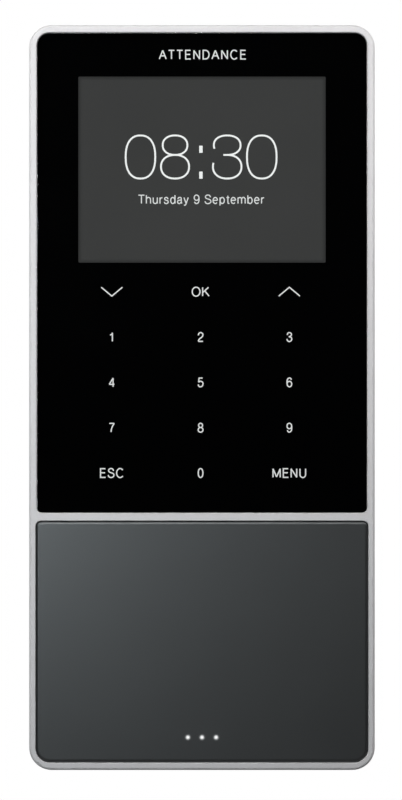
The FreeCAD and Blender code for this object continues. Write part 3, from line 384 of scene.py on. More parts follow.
def knurled_brass():
    """Brass with a diamond knurl."""
    shade = Shade("brass")
    knurl = shade.cells(2600.0, (1, 1, 0.6), "F1", "MANHATTAN")
    tone = shade.noise(500.0, detail=3.0)
    base = shade.mix(tone, (0.66, 0.49, 0.2), (0.8, 0.63, 0.32))
    normal = shade.bump(knurl, 0.00012, 0.8)
    shade.set(Base_Color=base, Metallic=1.0, Roughness=shade.ramp(tone, 0.3, 0.7, 0.2, 0.34), Normal=normal)
    return shade.mat


def ribbon_film():
    """Amber film with copper lines that run along it."""
    shade = Shade("ribbon")
    lines = shade.math("FRACT", shade.math("MULTIPLY", shade.axis("X"), 1400.0))
    track = shade.ramp(shade.math("ABSOLUTE", shade.math("SUBTRACT", lines, 0.5)), 0.18, 0.26, 1.0, 0.0)
    cloud = shade.noise(120.0, detail=4.0)
    film = shade.mix(cloud, (0.34, 0.15, 0.03), (0.42, 0.2, 0.045))
    base = shade.mix(shade.math("MULTIPLY", track, 0.7), film, (0.62, 0.36, 0.15))
    normal = shade.bump(track, 0.00002, 0.5)
    shade.set(Base_Color=base, Roughness=shade.ramp(cloud, 0.3, 0.7, 0.25, 0.35), Normal=normal)
    return shade.mat


def soft_foam():
    """Open-cell black foam."""
    shade = Shade("black_foam")
    cells = shade.cells(2600.0)
    base = shade.mix(cells, (0.012, 0.012, 0.012), (0.035, 0.035, 0.035))
    normal = shade.bump(cells, 0.00015, 0.9)
    shade.set(Base_Color=base, Roughness=shade.ramp(cells, 0.0, 0.6, 0.95, 0.8), Normal=normal)
    return shade.mat


def paper_label():
    """Blank coated paper with faint fibres."""
    shade = Shade("label_white")
    fibre = shade.noise(1800.0, (1, 1, 3), detail=4.0)
    base = shade.mix(fibre, (0.74, 0.74, 0.72), (0.82, 0.82, 0.8))
    roughness = shade.ramp(fibre, 0.3, 0.7, 0.5, 0.62)
    shade.set(Base_Color=base, Roughness=roughness, Normal=shade.bump(fibre, 0.00001, 0.4))
    return shade.mat


def all_materials():
    """One material for each slot of the record."""
    return {
        "silver_paint": silver_paint(),
        "slate_plastic": slate_plastic(),
        "clear_glass": clear_glass(),
        "display_glass": display_panel(),
        "light_pipe": light_pipe(),
        "black_print": black_print(),
        "black_tape": moulded("black_tape", (0.01, 0.01, 0.01), 0.75, 0.06, 1200, 0.00001),
        "black_foam": soft_foam(),
        "white_plastic": moulded("white_plastic", (0.74, 0.74, 0.72), 0.45, 0.08, 1600, 0.00001, 0.04),
        "zinc_steel": metal("zinc_steel", (0.60, 0.61, 0.63), 0.36, (1, 1, 14), 420, 0.00001, 0.09),
        "bright_steel": metal("bright_steel", (0.66, 0.66, 0.67), 0.28, (12, 1, 1), 300, 0.00001, 0.08),
        "ribbon": ribbon_film(),
        "black_board": circuit_board("black_board", (0.008, 0.009, 0.009), (0.03, 0.032, 0.03), 150.0),
        "green_board": circuit_board("green_board", (0.004, 0.075, 0.03), (0.03, 0.2, 0.08), 130.0),
        "led_white": moulded("led_white", (0.85, 0.84, 0.78), 0.35, 0.08, 2500, 0.00001, 0.05),
        "chip_black": moulded("chip_black", (0.018, 0.018, 0.02), 0.55, 0.08, 2600, 0.00001),
        "ivory_plastic": moulded("ivory_plastic", (0.66, 0.61, 0.47), 0.42, 0.08, 2000, 0.00001, 0.05),
        "screw_steel": metal("screw_steel", (0.5, 0.5, 0.51), 0.28, (1, 1, 1), 1400, 0.00001, 0.12),
        "copper": metal("copper", (0.78, 0.4, 0.24), 0.25, (1, 1, 1), 1200, 0.000005, 0.1),
        "aluminium_can": metal("aluminium_can", (0.74, 0.75, 0.76), 0.25, (1, 14, 1), 500, 0.000005, 0.05),
        "nickel_shell": metal("nickel_shell", (0.7, 0.69, 0.66), 0.24, (1, 1, 10), 500, 0.00001, 0.07),
        "socket_black": moulded("socket_black", (0.014, 0.014, 0.015), 0.42, 0.1, 2200, 0.000015),
        "gold_contact": metal("gold_contact", (0.92, 0.68, 0.3), 0.2, (1, 1, 8), 900, 0.000003, 0.06),
        "button_grey": moulded("button_grey", (0.3, 0.3, 0.31), 0.45, 0.08, 2000, 0.00001),
        "rubber_black": moulded("rubber_black", (0.016, 0.016, 0.018), 0.68, 0.08, 2600, 0.00003),
        "speaker_paper": moulded("speaker_paper", (0.03, 0.03, 0.03), 0.85, 0.06, 1800, 0.00006, 0.2),
        "lead_red": moulded("lead_red", (0.4, 0.02, 0.02), 0.4, 0.08, 1500, 0.000005, 0.08),
        "charcoal_plastic": moulded("charcoal_plastic", (0.028, 0.03, 0.033), 0.52, 0.07, 2300, 0.00004, 0.1),
        "brass": knurled_brass(),
        "label_white": paper_label(),
    }


def dress_nodes(materials):
    """Gives every node of the design the material of its slot."""
    for row in frame["record"]["subparts"]:
        for holder in NODES[row["node"]].material_slots:
            holder.material = materials[row["material_slot"]]


# ---------------------------------------------------------------- lettering

def oval(cx, cy, rx, ry, start=0.0, end=360.0, square=2.0):
    """Points round an oval from one angle to another. A larger square fills its corners."""
    steps = max(6, int(abs(end - start) / 9))
    points = []
    for index in range(steps + 1):
        angle = math.radians(start + (end - start) * index / steps)
        c, s = math.cos(angle), math.sin(angle)
        x = math.copysign(abs(c) ** (2 / square), c)
        y = math.copysign(abs(s) ** (2 / square), s)
        points.append((cx + rx * x, cy + ry * y))
    return points


def curve_at(t, p, q, r, s):
    """One coordinate of a smooth curve between q and r, with p before them and s after."""
    squared = (2 * p - 5 * q + 4 * r - s) * t * t
    cubed = (3 * q - p - 3 * r + s) * t**3
    return 0.5 * (2 * q + (r - p) * t + squared + cubed)


def flow(*knots):
    """Smooth curve through its points."""
    ends = [knots[0], *knots, knots[-1]]
    points = []
    steps = 6
    for a, b, c, d in zip(ends, ends[1:], ends[2:], ends[3:]):
        for index in range(steps):
            points.append(tuple(curve_at(index / steps, *row) for row in zip(a, b, c, d)))
    return points + [knots[-1]]


def turned(strokes, width):
    """Strokes turned half round in their cell."""
    return [[(width - x, 1.0 - y) for x, y in stroke] for stroke in strokes]


SIX = [flow((0.49, 0.8), (0.41, 0.96), (0.28, 1.01), (0.13, 0.92), (0.05, 0.7), (0.04, 0.4),
            (0.09, 0.12), (0.28, -0.02), (0.46, 0.08), (0.52, 0.31), (0.45, 0.54), (0.29, 0.62),
            (0.13, 0.55), (0.05, 0.38))]

# Each letter: its width and its strokes, for a capital of height 1.
GLYPHS = {
    "0": (0.56, [oval(0.28, 0.5, 0.24, 0.51, square=2.2)]),
    "1": (0.5, [[(0.07, 0.74), (0.2, 0.77), (0.28, 0.86), (0.31, 1.0), (0.31, 0.0)]]),
    "2": (0.56, [flow((0.05, 0.69), (0.1, 0.9), (0.28, 1.01), (0.47, 0.92), (0.52, 0.73), (0.43, 0.52),
                      (0.24, 0.34), (0.1, 0.18), (0.05, 0.0)), [(0.05, 0.0), (0.53, 0.0)]]),
    "3": (0.56, [flow((0.06, 0.74), (0.12, 0.93), (0.28, 1.01), (0.45, 0.93), (0.49, 0.76), (0.41, 0.6),
                      (0.22, 0.54)),
                 flow((0.22, 0.54), (0.44, 0.47), (0.53, 0.27), (0.45, 0.06), (0.27, -0.02), (0.1, 0.06),
                      (0.03, 0.28))]),
    "4": (0.56, [[(0.41, 0.0), (0.41, 0.99), (0.02, 0.27), (0.55, 0.27)]]),
    "5": (0.56, [[(0.49, 1.0), (0.13, 1.0), (0.07, 0.5)],
                 flow((0.07, 0.5), (0.17, 0.6), (0.3, 0.63), (0.46, 0.54), (0.53, 0.32), (0.45, 0.08),
                      (0.26, -0.02), (0.1, 0.05), (0.03, 0.25))]),
    "6": (0.56, SIX),
    "7": (0.56, [[(0.03, 1.0), (0.53, 1.0)], flow((0.53, 1.0), (0.36, 0.68), (0.24, 0.34), (0.2, 0.0))]),
    "8": (0.56, [oval(0.28, 0.765, 0.2, 0.245), oval(0.28, 0.25, 0.25, 0.27)]),
    "9": (0.56, turned(SIX, 0.56)),
    "A": (0.7, [[(0.0, 0.0), (0.35, 1.0), (0.7, 0.0)], [(0.13, 0.36), (0.57, 0.36)]]),
    "C": (0.76, [oval(0.4, 0.5, 0.36, 0.52, 42, 318)]),
    "D": (0.72, [[(0.3, 0.0), (0.06, 0.0), (0.06, 1.0), (0.3, 1.0)], oval(0.3, 0.5, 0.37, 0.5, 90, -90)]),
    "E": (0.6, [[(0.56, 1.0), (0.06, 1.0), (0.06, 0.0), (0.58, 0.0)], [(0.06, 0.53), (0.52, 0.53)]]),
    "K": (0.74, [[(0.06, 0.0), (0.06, 1.0)], [(0.66, 1.0), (0.06, 0.38)], [(0.27, 0.6), (0.72, 0.0)]]),
    "M": (0.86, [[(0.06, 0.0), (0.06, 1.0), (0.43, 0.05), (0.8, 1.0), (0.8, 0.0)]]),
    "N": (0.7, [[(0.06, 0.0), (0.06, 1.0), (0.64, 0.0), (0.64, 1.0)]]),
    "O": (0.86, [oval(0.43, 0.5, 0.4, 0.52)]),
    "S": (0.66, [flow((0.59, 0.75), (0.51, 0.95), (0.33, 1.02), (0.14, 0.94), (0.08, 0.76), (0.18, 0.61),
                      (0.36, 0.53), (0.55, 0.44), (0.63, 0.26), (0.54, 0.06), (0.33, -0.02), (0.12, 0.06),
                      (0.04, 0.27))]),
    "T": (0.6, [[(0.0, 1.0), (0.6, 1.0)], [(0.3, 1.0), (0.3, 0.0)]]),
    "U": (0.72, [[(0.07, 1.0), (0.07, 0.34)], oval(0.36, 0.34, 0.29, 0.36, 180, 360),
                 [(0.65, 0.34), (0.65, 1.0)]]),
    "a": (0.52, [flow((0.08, 0.52), (0.14, 0.68), (0.27, 0.73), (0.4, 0.67), (0.43, 0.5), (0.43, 0.15),
                      (0.5, 0.01)),
                 flow((0.43, 0.43), (0.25, 0.39), (0.09, 0.32), (0.05, 0.17), (0.13, 0.02), (0.27, 0.0),
                      (0.43, 0.18))]),
    "b": (0.56, [[(0.07, 0.0), (0.07, 1.0)], oval(0.29, 0.36, 0.21, 0.37)]),
    "d": (0.56, [[(0.49, 0.0), (0.49, 1.0)], oval(0.27, 0.36, 0.21, 0.37)]),
    "e": (0.54, [[(0.05, 0.38), (0.49, 0.38)], oval(0.27, 0.36, 0.22, 0.37, 3, 318)]),
    "h": (0.54, [[(0.06, 0.0), (0.06, 1.0)], oval(0.27, 0.46, 0.21, 0.27, 180, 0),
                 [(0.48, 0.46), (0.48, 0.0)]]),
    "m": (0.84, [[(0.06, 0.0), (0.06, 0.72)], oval(0.24, 0.48, 0.18, 0.25, 180, 0),
                 [(0.42, 0.48), (0.42, 0.0)], oval(0.6, 0.48, 0.18, 0.25, 180, 0),
                 [(0.78, 0.48), (0.78, 0.0)]]),
    "p": (0.56, [[(0.07, -0.24), (0.07, 0.72)], oval(0.29, 0.36, 0.21, 0.37)]),
    "r": (0.33, [[(0.07, 0.0), (0.07, 0.72)], flow((0.07, 0.42), (0.15, 0.64), (0.32, 0.71))]),
    "s": (0.48, [flow((0.41, 0.53), (0.35, 0.68), (0.23, 0.73), (0.1, 0.67), (0.07, 0.53), (0.14, 0.43),
                      (0.25, 0.38), (0.38, 0.32), (0.43, 0.19), (0.37, 0.04), (0.23, -0.01), (0.09, 0.04),
                      (0.04, 0.19))]),
    "t": (0.3, [flow((0.16, 0.93), (0.16, 0.5), (0.16, 0.12), (0.21, 0.01), (0.31, 0.01)),
                [(0.02, 0.71), (0.3, 0.71)]]),
    "u": (0.54, [[(0.07, 0.72), (0.07, 0.26)], oval(0.27, 0.26, 0.2, 0.27, 180, 360),
                 [(0.48, 0.72), (0.48, 0.0)]]),
    "y": (0.5, [[(0.03, 0.72), (0.25, 0.02)],
                flow((0.47, 0.72), (0.26, 0.02), (0.19, -0.17), (0.04, -0.22))]),
    " ": (0.25, []),
}

# The clock's digits are wider and drawn with a finer line.
CLOCK_GLYPHS = {
    "0": (0.66, [oval(0.33, 0.5, 0.33, 0.48, square=2.35)]),
    "8": (0.63, [oval(0.315, 0.763, 0.275, 0.217, square=2.2),
                 oval(0.315, 0.283, 0.313, 0.263, square=2.2)]),
    "3": (0.64, [oval(0.32, 0.763, 0.298, 0.217, 199, -90, 2.2), [(0.235, 0.546), (0.32, 0.546)],
                 oval(0.32, 0.283, 0.318, 0.263, 90, -197, 2.2)]),
}


def stroke_mesh(stroke, width, verts, faces, front, back):
    """Adds one flat stroke of even width, given as (x, z) points, as a thin closed solid."""
    closed = len(stroke) > 3 and math.dist(stroke[0], stroke[-1]) < width * 0.05
    points = stroke[:-1] if closed else stroke
    count = len(points)
    first = len(verts)
    for index, (x, z) in enumerate(points):
        before = points[index - 1] if closed or index > 0 else None
        after = points[(index + 1) % count] if closed or index < count - 1 else None
        normals = []
        for start, end in ((before, (x, z)), ((x, z), after)):
            if start is not None and end is not None:
                run = math.dist(start, end) or 1.0
                normals.append((-(end[1] - start[1]) / run, (end[0] - start[0]) / run))
        nx = sum(n[0] for n in normals)
        nz = sum(n[1] for n in normals)
        reach = 1.0 if len(normals) == 1 else min(MITRE_LIMIT, 2 / max(0.3, nx * nx + nz * nz))
        scale = width / 2 * reach
        for side in (1, -1):
            for y in (front, back):
                verts.append((x + side * nx * scale, y, z + side * nz * scale))
    spans = count if closed else count - 1
    for index in range(spans):
        a = first + 4 * index
        b = first + 4 * ((index + 1) % count)
        faces.append((a, a + 2, b + 2, b))
        faces.append((a + 1, b + 1, b + 3, a + 3))
        faces.append((a, b, b + 1, a + 1))
        faces.append((a + 2, a + 3, b + 3, b + 2))
    if not closed:
        last = first + 4 * (count - 1)
        faces.append((first, first + 1, first + 3, first + 2))
        faces.append((last, last + 2, last + 3, last + 1))


def cut_at_sharp_turns(stroke):
    """The stroke in pieces, cut wherever it doubles back, so that its width stays even."""
    pieces = [[stroke[0]]]
    for before, here, after in zip(stroke, stroke[1:], stroke[2:]):
        pieces[-1].append(here)
        coming = Vector(here) - Vector(before)
        going = Vector(after) - Vector(here)
        if coming.dot(going) < SHARP_TURN * coming.length * going.length:
            pieces.append([here])
    pieces[-1].append(stroke[-1])
    return pieces


def make_piece(name, verts, faces, material, body, slot, bevel=0.0):
    """A mesh piece that rides on a body."""
    mesh = bpy.data.meshes.new(name)
    mesh.from_pydata(verts, [], faces)
    mesh.validate()
    mesh.materials.append(material)
    obj = bpy.data.objects.new(name, mesh)
    bpy.context.scene.collection.objects.link(obj)
    if bevel:
        rounding = obj.modifiers.new("rounding", "BEVEL")
        rounding.width = bevel
        rounding.segments = 2
    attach(obj, body)
    return obj


def letter_strokes(text, centre_x, base_z, height, width=None, glyphs=GLYPHS, gap=0.14, broad=1.0):
    """Strokes of a line of text, centred, with its spacing set so that it is width wide."""
    across = height * broad
    widths = [glyphs[letter][0] * across for letter in text]
    space = gap * height
    if width is not None and len(text) > 1:
        space = (width - sum(widths)) / (len(text) - 1)
    x = centre_x - (sum(widths) + space * (len(text) - 1)) / 2
    strokes = []
    for letter, advance in zip(text, widths):
        for stroke in glyphs[letter][1]:
            strokes.append([(x + px * across, base_z + pz * height) for px, pz in stroke])
        x += advance + space
    return strokes


def lettering(name, strokes, width, surface_y, material, slot):
    """One piece from strokes that lie on a surface facing -Y."""
    verts, faces = [], []
    for stroke in strokes:
        for piece in cut_at_sharp_turns(stroke):
            stroke_mesh(piece, width, verts, faces, surface_y - INK, surface_y - INK * 0.1)
    return make_piece(name, verts, faces, material, "terminal", slot)


def key_legends():
    """Strokes of the fifteen key legends, row by row."""
    rows = [["down", "OK", "up"], list("123"), list("456"), list("789"), ["ESC", "0", "MENU"]]
    widths = {"OK": 4.9 * MM, "ESC": 6.7 * MM, "MENU": 9.6 * MM}
    strokes = []
    for row, labels in enumerate(rows):
        z = KEY_TOP_Z - row * KEY_PITCH_Z
        for column, label in enumerate(labels):
            x = KEY_CENTRE_X + (column - 1) * KEY_PITCH_X
            if label in ("down", "up"):
                tip = ARROW_RISE / 2 if label == "up" else -ARROW_RISE / 2
                strokes.append([(x - ARROW_W / 2, z - tip), (x, z + tip), (x + ARROW_W / 2, z - tip)])
            else:
                base = z - LEGEND_H / 2
                strokes += letter_strokes(label, x, base, LEGEND_H, widths.get(label), broad=LEGEND_BROAD)
    return strokes


def clock_strokes():
    """Strokes of the clock's four digits."""
    strokes = []
    for digit, x in zip("0830", CLOCK_DIGIT_XS):
        strokes += letter_strokes(digit, x, CLOCK_BASE_Z, CLOCK_H, glyphs=CLOCK_GLYPHS)
    return strokes


def add_lettering():
    """Header, key legends, clock and date."""
    print_white = glowing("legend_light", (0.62, 0.62, 0.62), 1.0)
    screen_white = glowing("screen_light", (0.93, 0.93, 0.93), 1.0)
    screen_soft = glowing("screen_soft_light", (0.72, 0.72, 0.72), 1.0)
    lettering("key_legends", key_legends(), LEGEND_STROKE, FILM_FRONT, print_white, "led_white")
    header = letter_strokes("ATTENDANCE", HEADER_X, HEADER_Z, HEADER_H, HEADER_W, broad=LEGEND_BROAD)
    lettering("header_legend", header, LEGEND_STROKE, FILM_FRONT, print_white, "led_white")
    lettering("clock_digits", clock_strokes(), CLOCK_STROKE, PANEL_FRONT, screen_white, "led_white")
    colon = [[(COLON_X, z - COLON_DOT_H / 2), (COLON_X, z + COLON_DOT_H / 2)] for z in COLON_ZS]
    lettering("clock_colon", colon, COLON_DOT_W, PANEL_FRONT, screen_white, "led_white")
    date = letter_strokes("Thursday 9 September", DATE_X, DATE_BASE_Z, DATE_H, DATE_W, broad=DATE_BROAD)
    lettering("date_line", date, DATE_STROKE, PANEL_FRONT, screen_soft, "led_white")


# ---------------------------------------------------------------- small parts

# How far two faces are kept apart or pushed into each other, so that they never coincide.
SKIN = 0.01 * MM

# Resistors and capacitors of the main board, and what they stay clear of.
PASSIVES = 150
PASSIVE_SIZE = (1.6 * MM, 0.8 * MM, 0.5 * MM)
PASSIVE_END = 0.4 * MM
PASSIVE_OVERHANG = 0.05 * MM
PASSIVE_EDGE = 3.0 * MM
PASSIVE_ROOM = 1.6 * MM
PASSIVE_SPOT = 0.9 * MM
BOARD_NEIGHBOURS = ("shield_can", "coin_cell_holder", "wifi_module", "ffc_connectors", "board_chips",
                    "board_screws")

# Legs of the board's chips.
LEG_PITCH = 0.8 * MM
LEG_W = 0.32 * MM
LEG_REACH = 0.7 * MM
LEG_T = 0.35 * MM
LEG_ROOT = 0.05 * MM

# Gold strips on the tongue of the USB socket.
TONGUE_Y = -12.2 * MM
STRIP_XS = (36.5 * MM, 43.6 * MM)
STRIP_OFFSETS = (-3.5 * MM, -1.0 * MM, 1.0 * MM, 3.5 * MM)
STRIP_W = 1.0 * MM
STRIP_T = 0.08 * MM

# Link lights at the mouth of the network socket.
LINK_YS = (-10.6 * MM, -8.2 * MM)
LINK_W = 1.2 * MM
LINK_INSET = 1.1 * MM
LINK_PROUD = 0.12 * MM

# Copper outlines of the touch keys.
ELECTRODE_HALF = 4.5 * MM
ELECTRODE_LINE = 1.2 * MM
ELECTRODE_T = 0.03 * MM


def add_box(verts, faces, low, high):
    """Adds a closed box to a mesh being built."""
    first = len(verts)
    for x in (low[0], high[0]):
        for y in (low[1], high[1]):
            for z in (low[2], high[2]):
                verts.append((x, y, z))
    for quad in ((0, 1, 3, 2), (4, 6, 7, 5), (0, 4, 5, 1), (2, 3, 7, 6), (0, 2, 6, 4), (1, 5, 7, 3)):
        faces.append(tuple(first + corner for corner in quad))


def clear_of(x, z, reach, zones):
    """True if a small part at x, z stays out of the zones, given as centre and half sizes."""
    return all(abs(x - cx) > hw + reach or abs(z - cz) > hh + reach for cx, cz, hw, hh in zones)


def add_passives(materials):
    """Small resistors and capacitors, upright or flat, on the front of the main board."""
    draw = random.Random(7)
    low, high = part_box("main_board")
    front = low.y
    zones = []
    for node in BOARD_NEIGHBOURS:
        for near, far in loose_parts(node):
            middle = (near + far) / 2
            half = (far - near) / 2
            zones.append((middle.x, middle.z, half.x, half.z))
    bodies = ([], [])
    ends = ([], [])
    placed = 0
    while placed < PASSIVES:
        x = draw.uniform(low.x + PASSIVE_EDGE, high.x - PASSIVE_EDGE)
        z = draw.uniform(low.z + PASSIVE_EDGE, high.z - PASSIVE_EDGE)
        upright = draw.random() < 0.5
        if not clear_of(x, z, PASSIVE_ROOM, zones):
            continue
        zones.append((x, z, PASSIVE_SPOT, PASSIVE_SPOT))
        add_passive(bodies, ends, x, z, front, upright)
        placed += 1
    make_piece("board_passives", *bodies, materials["chip_black"], "terminal", "chip_black")
    make_piece("board_passive_ends", *ends, materials["bright_steel"], "terminal", "bright_steel")


def add_passive(bodies, ends, x, z, front, upright):
    """One small part: its body, and at each side a tinned end that stands a little proud of it."""
    long, wide, tall = PASSIVE_SIZE
    hx, hz = (wide / 2, long / 2) if upright else (long / 2, wide / 2)
    inset = 0.98
    proud = 1.05
    low = (x - hx * inset, front - tall, z - hz * inset)
    add_box(*bodies, low, (x + hx * inset, front, z + hz * inset))
    reach = (long - PASSIVE_END) / 2 + PASSIVE_OVERHANG
    for side in (-1, 1):
        cx = x if upright else x + side * reach
        cz = z + side * reach if upright else z
        ex, ez = (wide / 2, PASSIVE_END / 2) if upright else (PASSIVE_END / 2, wide / 2)
        add_box(*ends, (cx - ex, front - tall * proud, cz - ez), (cx + ex, front - SKIN, cz + ez))


def loose_parts(node):
    """Boxes of the separate solids in a node, found by walking its mesh."""
    mesh = NODES[node].data
    places = {}
    for vertex in mesh.vertices:
        places.setdefault(tuple(round(c, 6) for c in vertex.co), []).append(vertex.index)
    root = list(range(len(mesh.vertices)))

    def find(index):
        while root[index] != index:
            root[index] = root[root[index]]
            index = root[index]
        return index

    for group in places.values():
        for index in group[1:]:
            root[find(index)] = find(group[0])
    for edge in mesh.edges:
        a, b = (find(index) for index in edge.vertices)
        root[a] = b
    boxes = {}
    for vertex in mesh.vertices:
        key = find(vertex.index)
        low, high = boxes.get(key, (vertex.co.copy(), vertex.co.copy()))
        low = Vector(map(min, low, vertex.co))
        high = Vector(map(max, high, vertex.co))
        boxes[key] = (low, high)
    return list(boxes.values())


def add_chip_legs(materials):
    """Rows of solder legs along two sides of each chip on the main board."""
    verts, faces = [], []
    for low, high in loose_parts("board_chips"):
        count = int((high.z - low.z) / LEG_PITCH)
        for index in range(count):
            z = low.z + (index + 0.5) * (high.z - low.z) / count
            for side, edge in ((-1, low.x), (1, high.x)):
                near, far = sorted((edge - side * LEG_ROOT, edge + side * LEG_REACH))
                foot = (near, high.y - LEG_T, z - LEG_W / 2)
                add_box(verts, faces, foot, (far, high.y, z + LEG_W / 2))
    make_piece("chip_legs", verts, faces, materials["bright_steel"], "terminal", "bright_steel")


def add_usb_contacts(materials):
    """Four gold strips on the tongue of the USB socket."""
    low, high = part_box("usb_insulator")
    centre = (low.z + high.z) / 2
    inner, outer = STRIP_XS
    verts, faces = [], []
    for offset in STRIP_OFFSETS:
        z = centre + offset
        corner = (inner, TONGUE_Y - STRIP_T, z - STRIP_W / 2)
        add_box(verts, faces, corner, (outer, TONGUE_Y, z + STRIP_W / 2))
    gold = materials["gold_contact"]
    make_piece("usb_contacts", verts, faces, gold, "terminal", "gold_contact", 0.03 * MM)


def add_lan_lights():
    """Two small link lights beside the mouth of the network socket."""
    low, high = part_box("lan_jack")
    left = ("lan_light_left", low.x + LINK_INSET, (0.1, 0.6, 0.12))
    right = ("lan_light_right", high.x - LINK_INSET, (0.75, 0.4, 0.03))
    for name, x, colour in (left, right):
        verts, faces = [], []
        corner = (x - LINK_W / 2, LINK_YS[0], low.z - LINK_PROUD)
        add_box(verts, faces, corner, (x + LINK_W / 2, LINK_YS[1], low.z + SKIN))
        lamp = moulded(name, colour, 0.25, 0.05, 1800, 0.00001, 0.08)
        make_piece(name, verts, faces, lamp, "terminal", "light_pipe", 0.05 * MM)


def add_key_electrodes(materials):
    """Square copper outlines round the light holes on the touch board."""
    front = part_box("keypad_board")[0].y
    corners = ((-1, -1), (1, -1), (1, 1), (-1, 1), (-1, -1))
    verts, faces = [], []
    for row in range(KEY_ROWS):
        for column in range(KEY_COLUMNS):
            x = KEY_CENTRE_X + (column - 1) * KEY_PITCH_X
            z = KEY_TOP_Z - row * KEY_PITCH_Z
            outline = [(x + ELECTRODE_HALF * c, z + ELECTRODE_HALF * s) for c, s in corners]
            stroke_mesh(outline, ELECTRODE_LINE, verts, faces, front - ELECTRODE_T, front)
    make_piece("key_electrodes", verts, faces, materials["copper"], "terminal", "copper")


def add_small_parts(materials):
    """Everything too small for the design file."""
    add_passives(materials)
    add_chip_legs(materials)
    add_usb_contacts(materials)
    add_lan_lights()
    add_key_electrodes(materials)


# ---------------------------------------------------------------- stage, light and camera

FLOOR_RADIUS = 1.2
FLOOR_DROP = 0.22
FLOOR_SIDES = 96

# How strongly the surroundings light the object: not at all straight in front of it, and this
# much from the sides and behind. The steps are values of the world's Y direction.
AROUND_DARK_Y = -0.97
AROUND_LIT_Y = -0.2
AROUND_STRENGTH = 0.05


def floor_material():
    """Matt floor that looks pale and even, and fades into the white surroundings at its rim."""
    shade = Shade("floor_pale")
    cloud = shade.noise(6.0, detail=2.0)
    shade.set(Base_Color=shade.mix(cloud, (0.145, 0.145, 0.145), (0.155, 0.155, 0.155)), Roughness=0.8)
    out = shade.node("ShaderNodeVectorMath", operation="LENGTH")
    shade.join(shade.place, out.inputs[0])
    glow = shade.node("ShaderNodeEmission")
    fade = shade.ramp(out.outputs["Value"], 0.25 * FLOOR_RADIUS, 0.95 * FLOOR_RADIUS, 0.8, 1.0)
    shade.join(fade, glow.inputs["Strength"])
    path = shade.node("ShaderNodeLightPath")
    both = shade.node("ShaderNodeMixShader")
    shade.join(shade.math("MULTIPLY", path.outputs["Is Camera Ray"], fade), both.inputs[0])
    shade.join(shade.shader.outputs[0], both.inputs[1])
    shade.join(glow.outputs[0], both.inputs[2])
    shade.join(both.outputs[0], shade.output.inputs["Surface"])
    return shade.mat


def add_floor():
    """Plain pale round floor, well below the object."""
    z = CAD_BOX[0].z - FLOOR_DROP
    turns = [math.tau * index / FLOOR_SIDES for index in range(FLOOR_SIDES)]
    verts = [(0.0, 0.0, z)]
    verts += [(FLOOR_RADIUS * math.cos(turn), FLOOR_RADIUS * math.sin(turn), z) for turn in turns]
    faces = [(0, 1 + index, 1 + (index + 1) % FLOOR_SIDES) for index in range(FLOOR_SIDES)]
    mesh = bpy.data.meshes.new("floor")
    mesh.from_pydata(verts, [], faces)
    floor = bpy.data.objects.new("floor", mesh)
    bpy.context.scene.collection.objects.link(floor)
    mesh.materials.append(floor_material())


def add_world():
    """Even white surroundings to look at, with a dimmer, softer light from them."""
    world = bpy.data.worlds.new("studio")
    bpy.context.scene.world = world
    world.use_nodes = True
    tree = world.node_tree
    tree.nodes.clear()
    output = tree.nodes.new("ShaderNodeOutputWorld")
    seen = tree.nodes.new("ShaderNodeBackground")
    seen.inputs["Color"].default_value = (1.0, 1.0, 1.0, 1.0)
    place = tree.nodes.new("ShaderNodeTexCoord")
    split = tree.nodes.new("ShaderNodeSeparateXYZ")
    tree.links.new(place.outputs["Generated"], split.inputs[0])
    towards_front = tree.nodes.new("ShaderNodeMapRange")
    towards_front.interpolation_type = "SMOOTHSTEP"
    tree.links.new(split.outputs["Y"], towards_front.inputs["Value"])
    towards_front.inputs["From Min"].default_value = AROUND_DARK_Y
    towards_front.inputs["From Max"].default_value = AROUND_LIT_Y
    towards_front.inputs["To Max"].default_value = AROUND_STRENGTH
    lit = tree.nodes.new("ShaderNodeBackground")
    lit.inputs["Color"].default_value = (0.97, 0.98, 1.0, 1.0)
    tree.links.new(towards_front.outputs[0], lit.inputs["Strength"])
    path = tree.nodes.new("ShaderNodeLightPath")
    both = tree.nodes.new("ShaderNodeMixShader")
    tree.links.new(path.outputs["Is Camera Ray"], both.inputs[0])
    tree.links.new(lit.outputs[0], both.inputs[1])
    tree.links.new(seen.outputs[0], both.inputs[2])
    tree.links.new(both.outputs[0], output.inputs["Surface"])


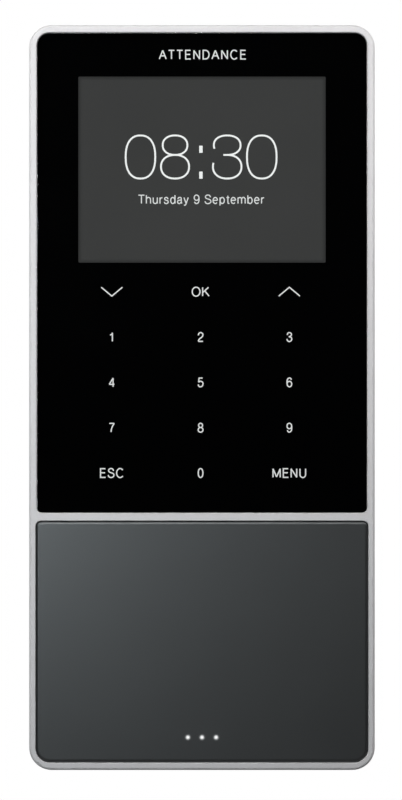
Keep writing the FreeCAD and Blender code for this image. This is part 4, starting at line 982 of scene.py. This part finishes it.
def add_light(name, place, target, size, power, colour=(1.0, 1.0, 1.0)):
    """Soft rectangular lamp aimed at a point."""
    data = bpy.data.lights.new(name, "AREA")
    data.shape = "RECTANGLE"
    data.size = size[0]
    data.size_y = size[1]
    data.energy = power
    data.color = colour
    lamp = bpy.data.objects.new(name, data)
    bpy.context.scene.collection.objects.link(lamp)
    lamp.location = place
    lamp.rotation_euler = (Vector(target) - Vector(place)).to_track_quat("-Z", "Y").to_euler()
    lamp.visible_camera = False


def add_lights():
    """Soft keys above and beside the top, a glancing sheen at the left, and light on side and back."""
    add_light("sheen", (-0.122, -0.33, 0.02), (0.0, 0.0, -0.03), (0.06, 0.12), 0.45, (0.89, 0.963, 1.0))
    add_light("key_high", (-0.03, -0.22, 0.3), (0.0, 0.0, 0.06), (0.16, 0.12), 0.32)
    add_light("key_front", (-0.05, -0.6, 0.42), (0.0, 0.0, 0.0), (0.16, 0.12), 1.65)
    add_light("top_left", (-0.15, -0.15, 0.11), (0.0, 0.0, 0.09), (0.06, 0.1), 0.1)
    add_light("top_right", (0.15, -0.15, 0.11), (0.0, 0.0, 0.09), (0.06, 0.1), 0.12)
    add_light("side", (0.6, 0.55, 0.3), (0.0, 0.0, 0.0), (1.0, 1.0), 4.8)
    add_light("back_key", (0.4, 0.7, 0.4), (0.0, 0.0, 0.0), (1.4, 1.4), 6.5)
    add_light("back_fill", (-0.6, 0.6, 0.2), (0.0, 0.0, 0.0), (1.0, 1.0), 4.0)


def add_camera():
    """Long lens, square on to the front."""
    data = bpy.data.cameras.new("camera")
    data.lens = LENS_MM
    data.sensor_width = SENSOR_MM
    camera = bpy.data.objects.new("camera", data)
    bpy.context.scene.collection.objects.link(camera)
    distance = VIEW_HEIGHT * LENS_MM / SENSOR_MM
    front = CAD_BOX[0].y
    middle = (CAD_BOX[0] + CAD_BOX[1]) / 2
    camera.location = (middle.x - VIEW_RIGHT, front - distance, middle.z - VIEW_UP)
    camera.rotation_euler = (math.radians(90), 0.0, 0.0)
    data.clip_start = 0.05
    data.clip_end = 50.0
    bpy.context.scene.camera = camera


def main():
    """Builds everything."""
    bpy.context.scene.view_settings.view_transform = "Standard"
    add_camera()
    materials = all_materials()
    dress_nodes(materials)
    add_lettering()
    add_small_parts(materials)
    add_floor()
    add_world()
    add_lights()


main()
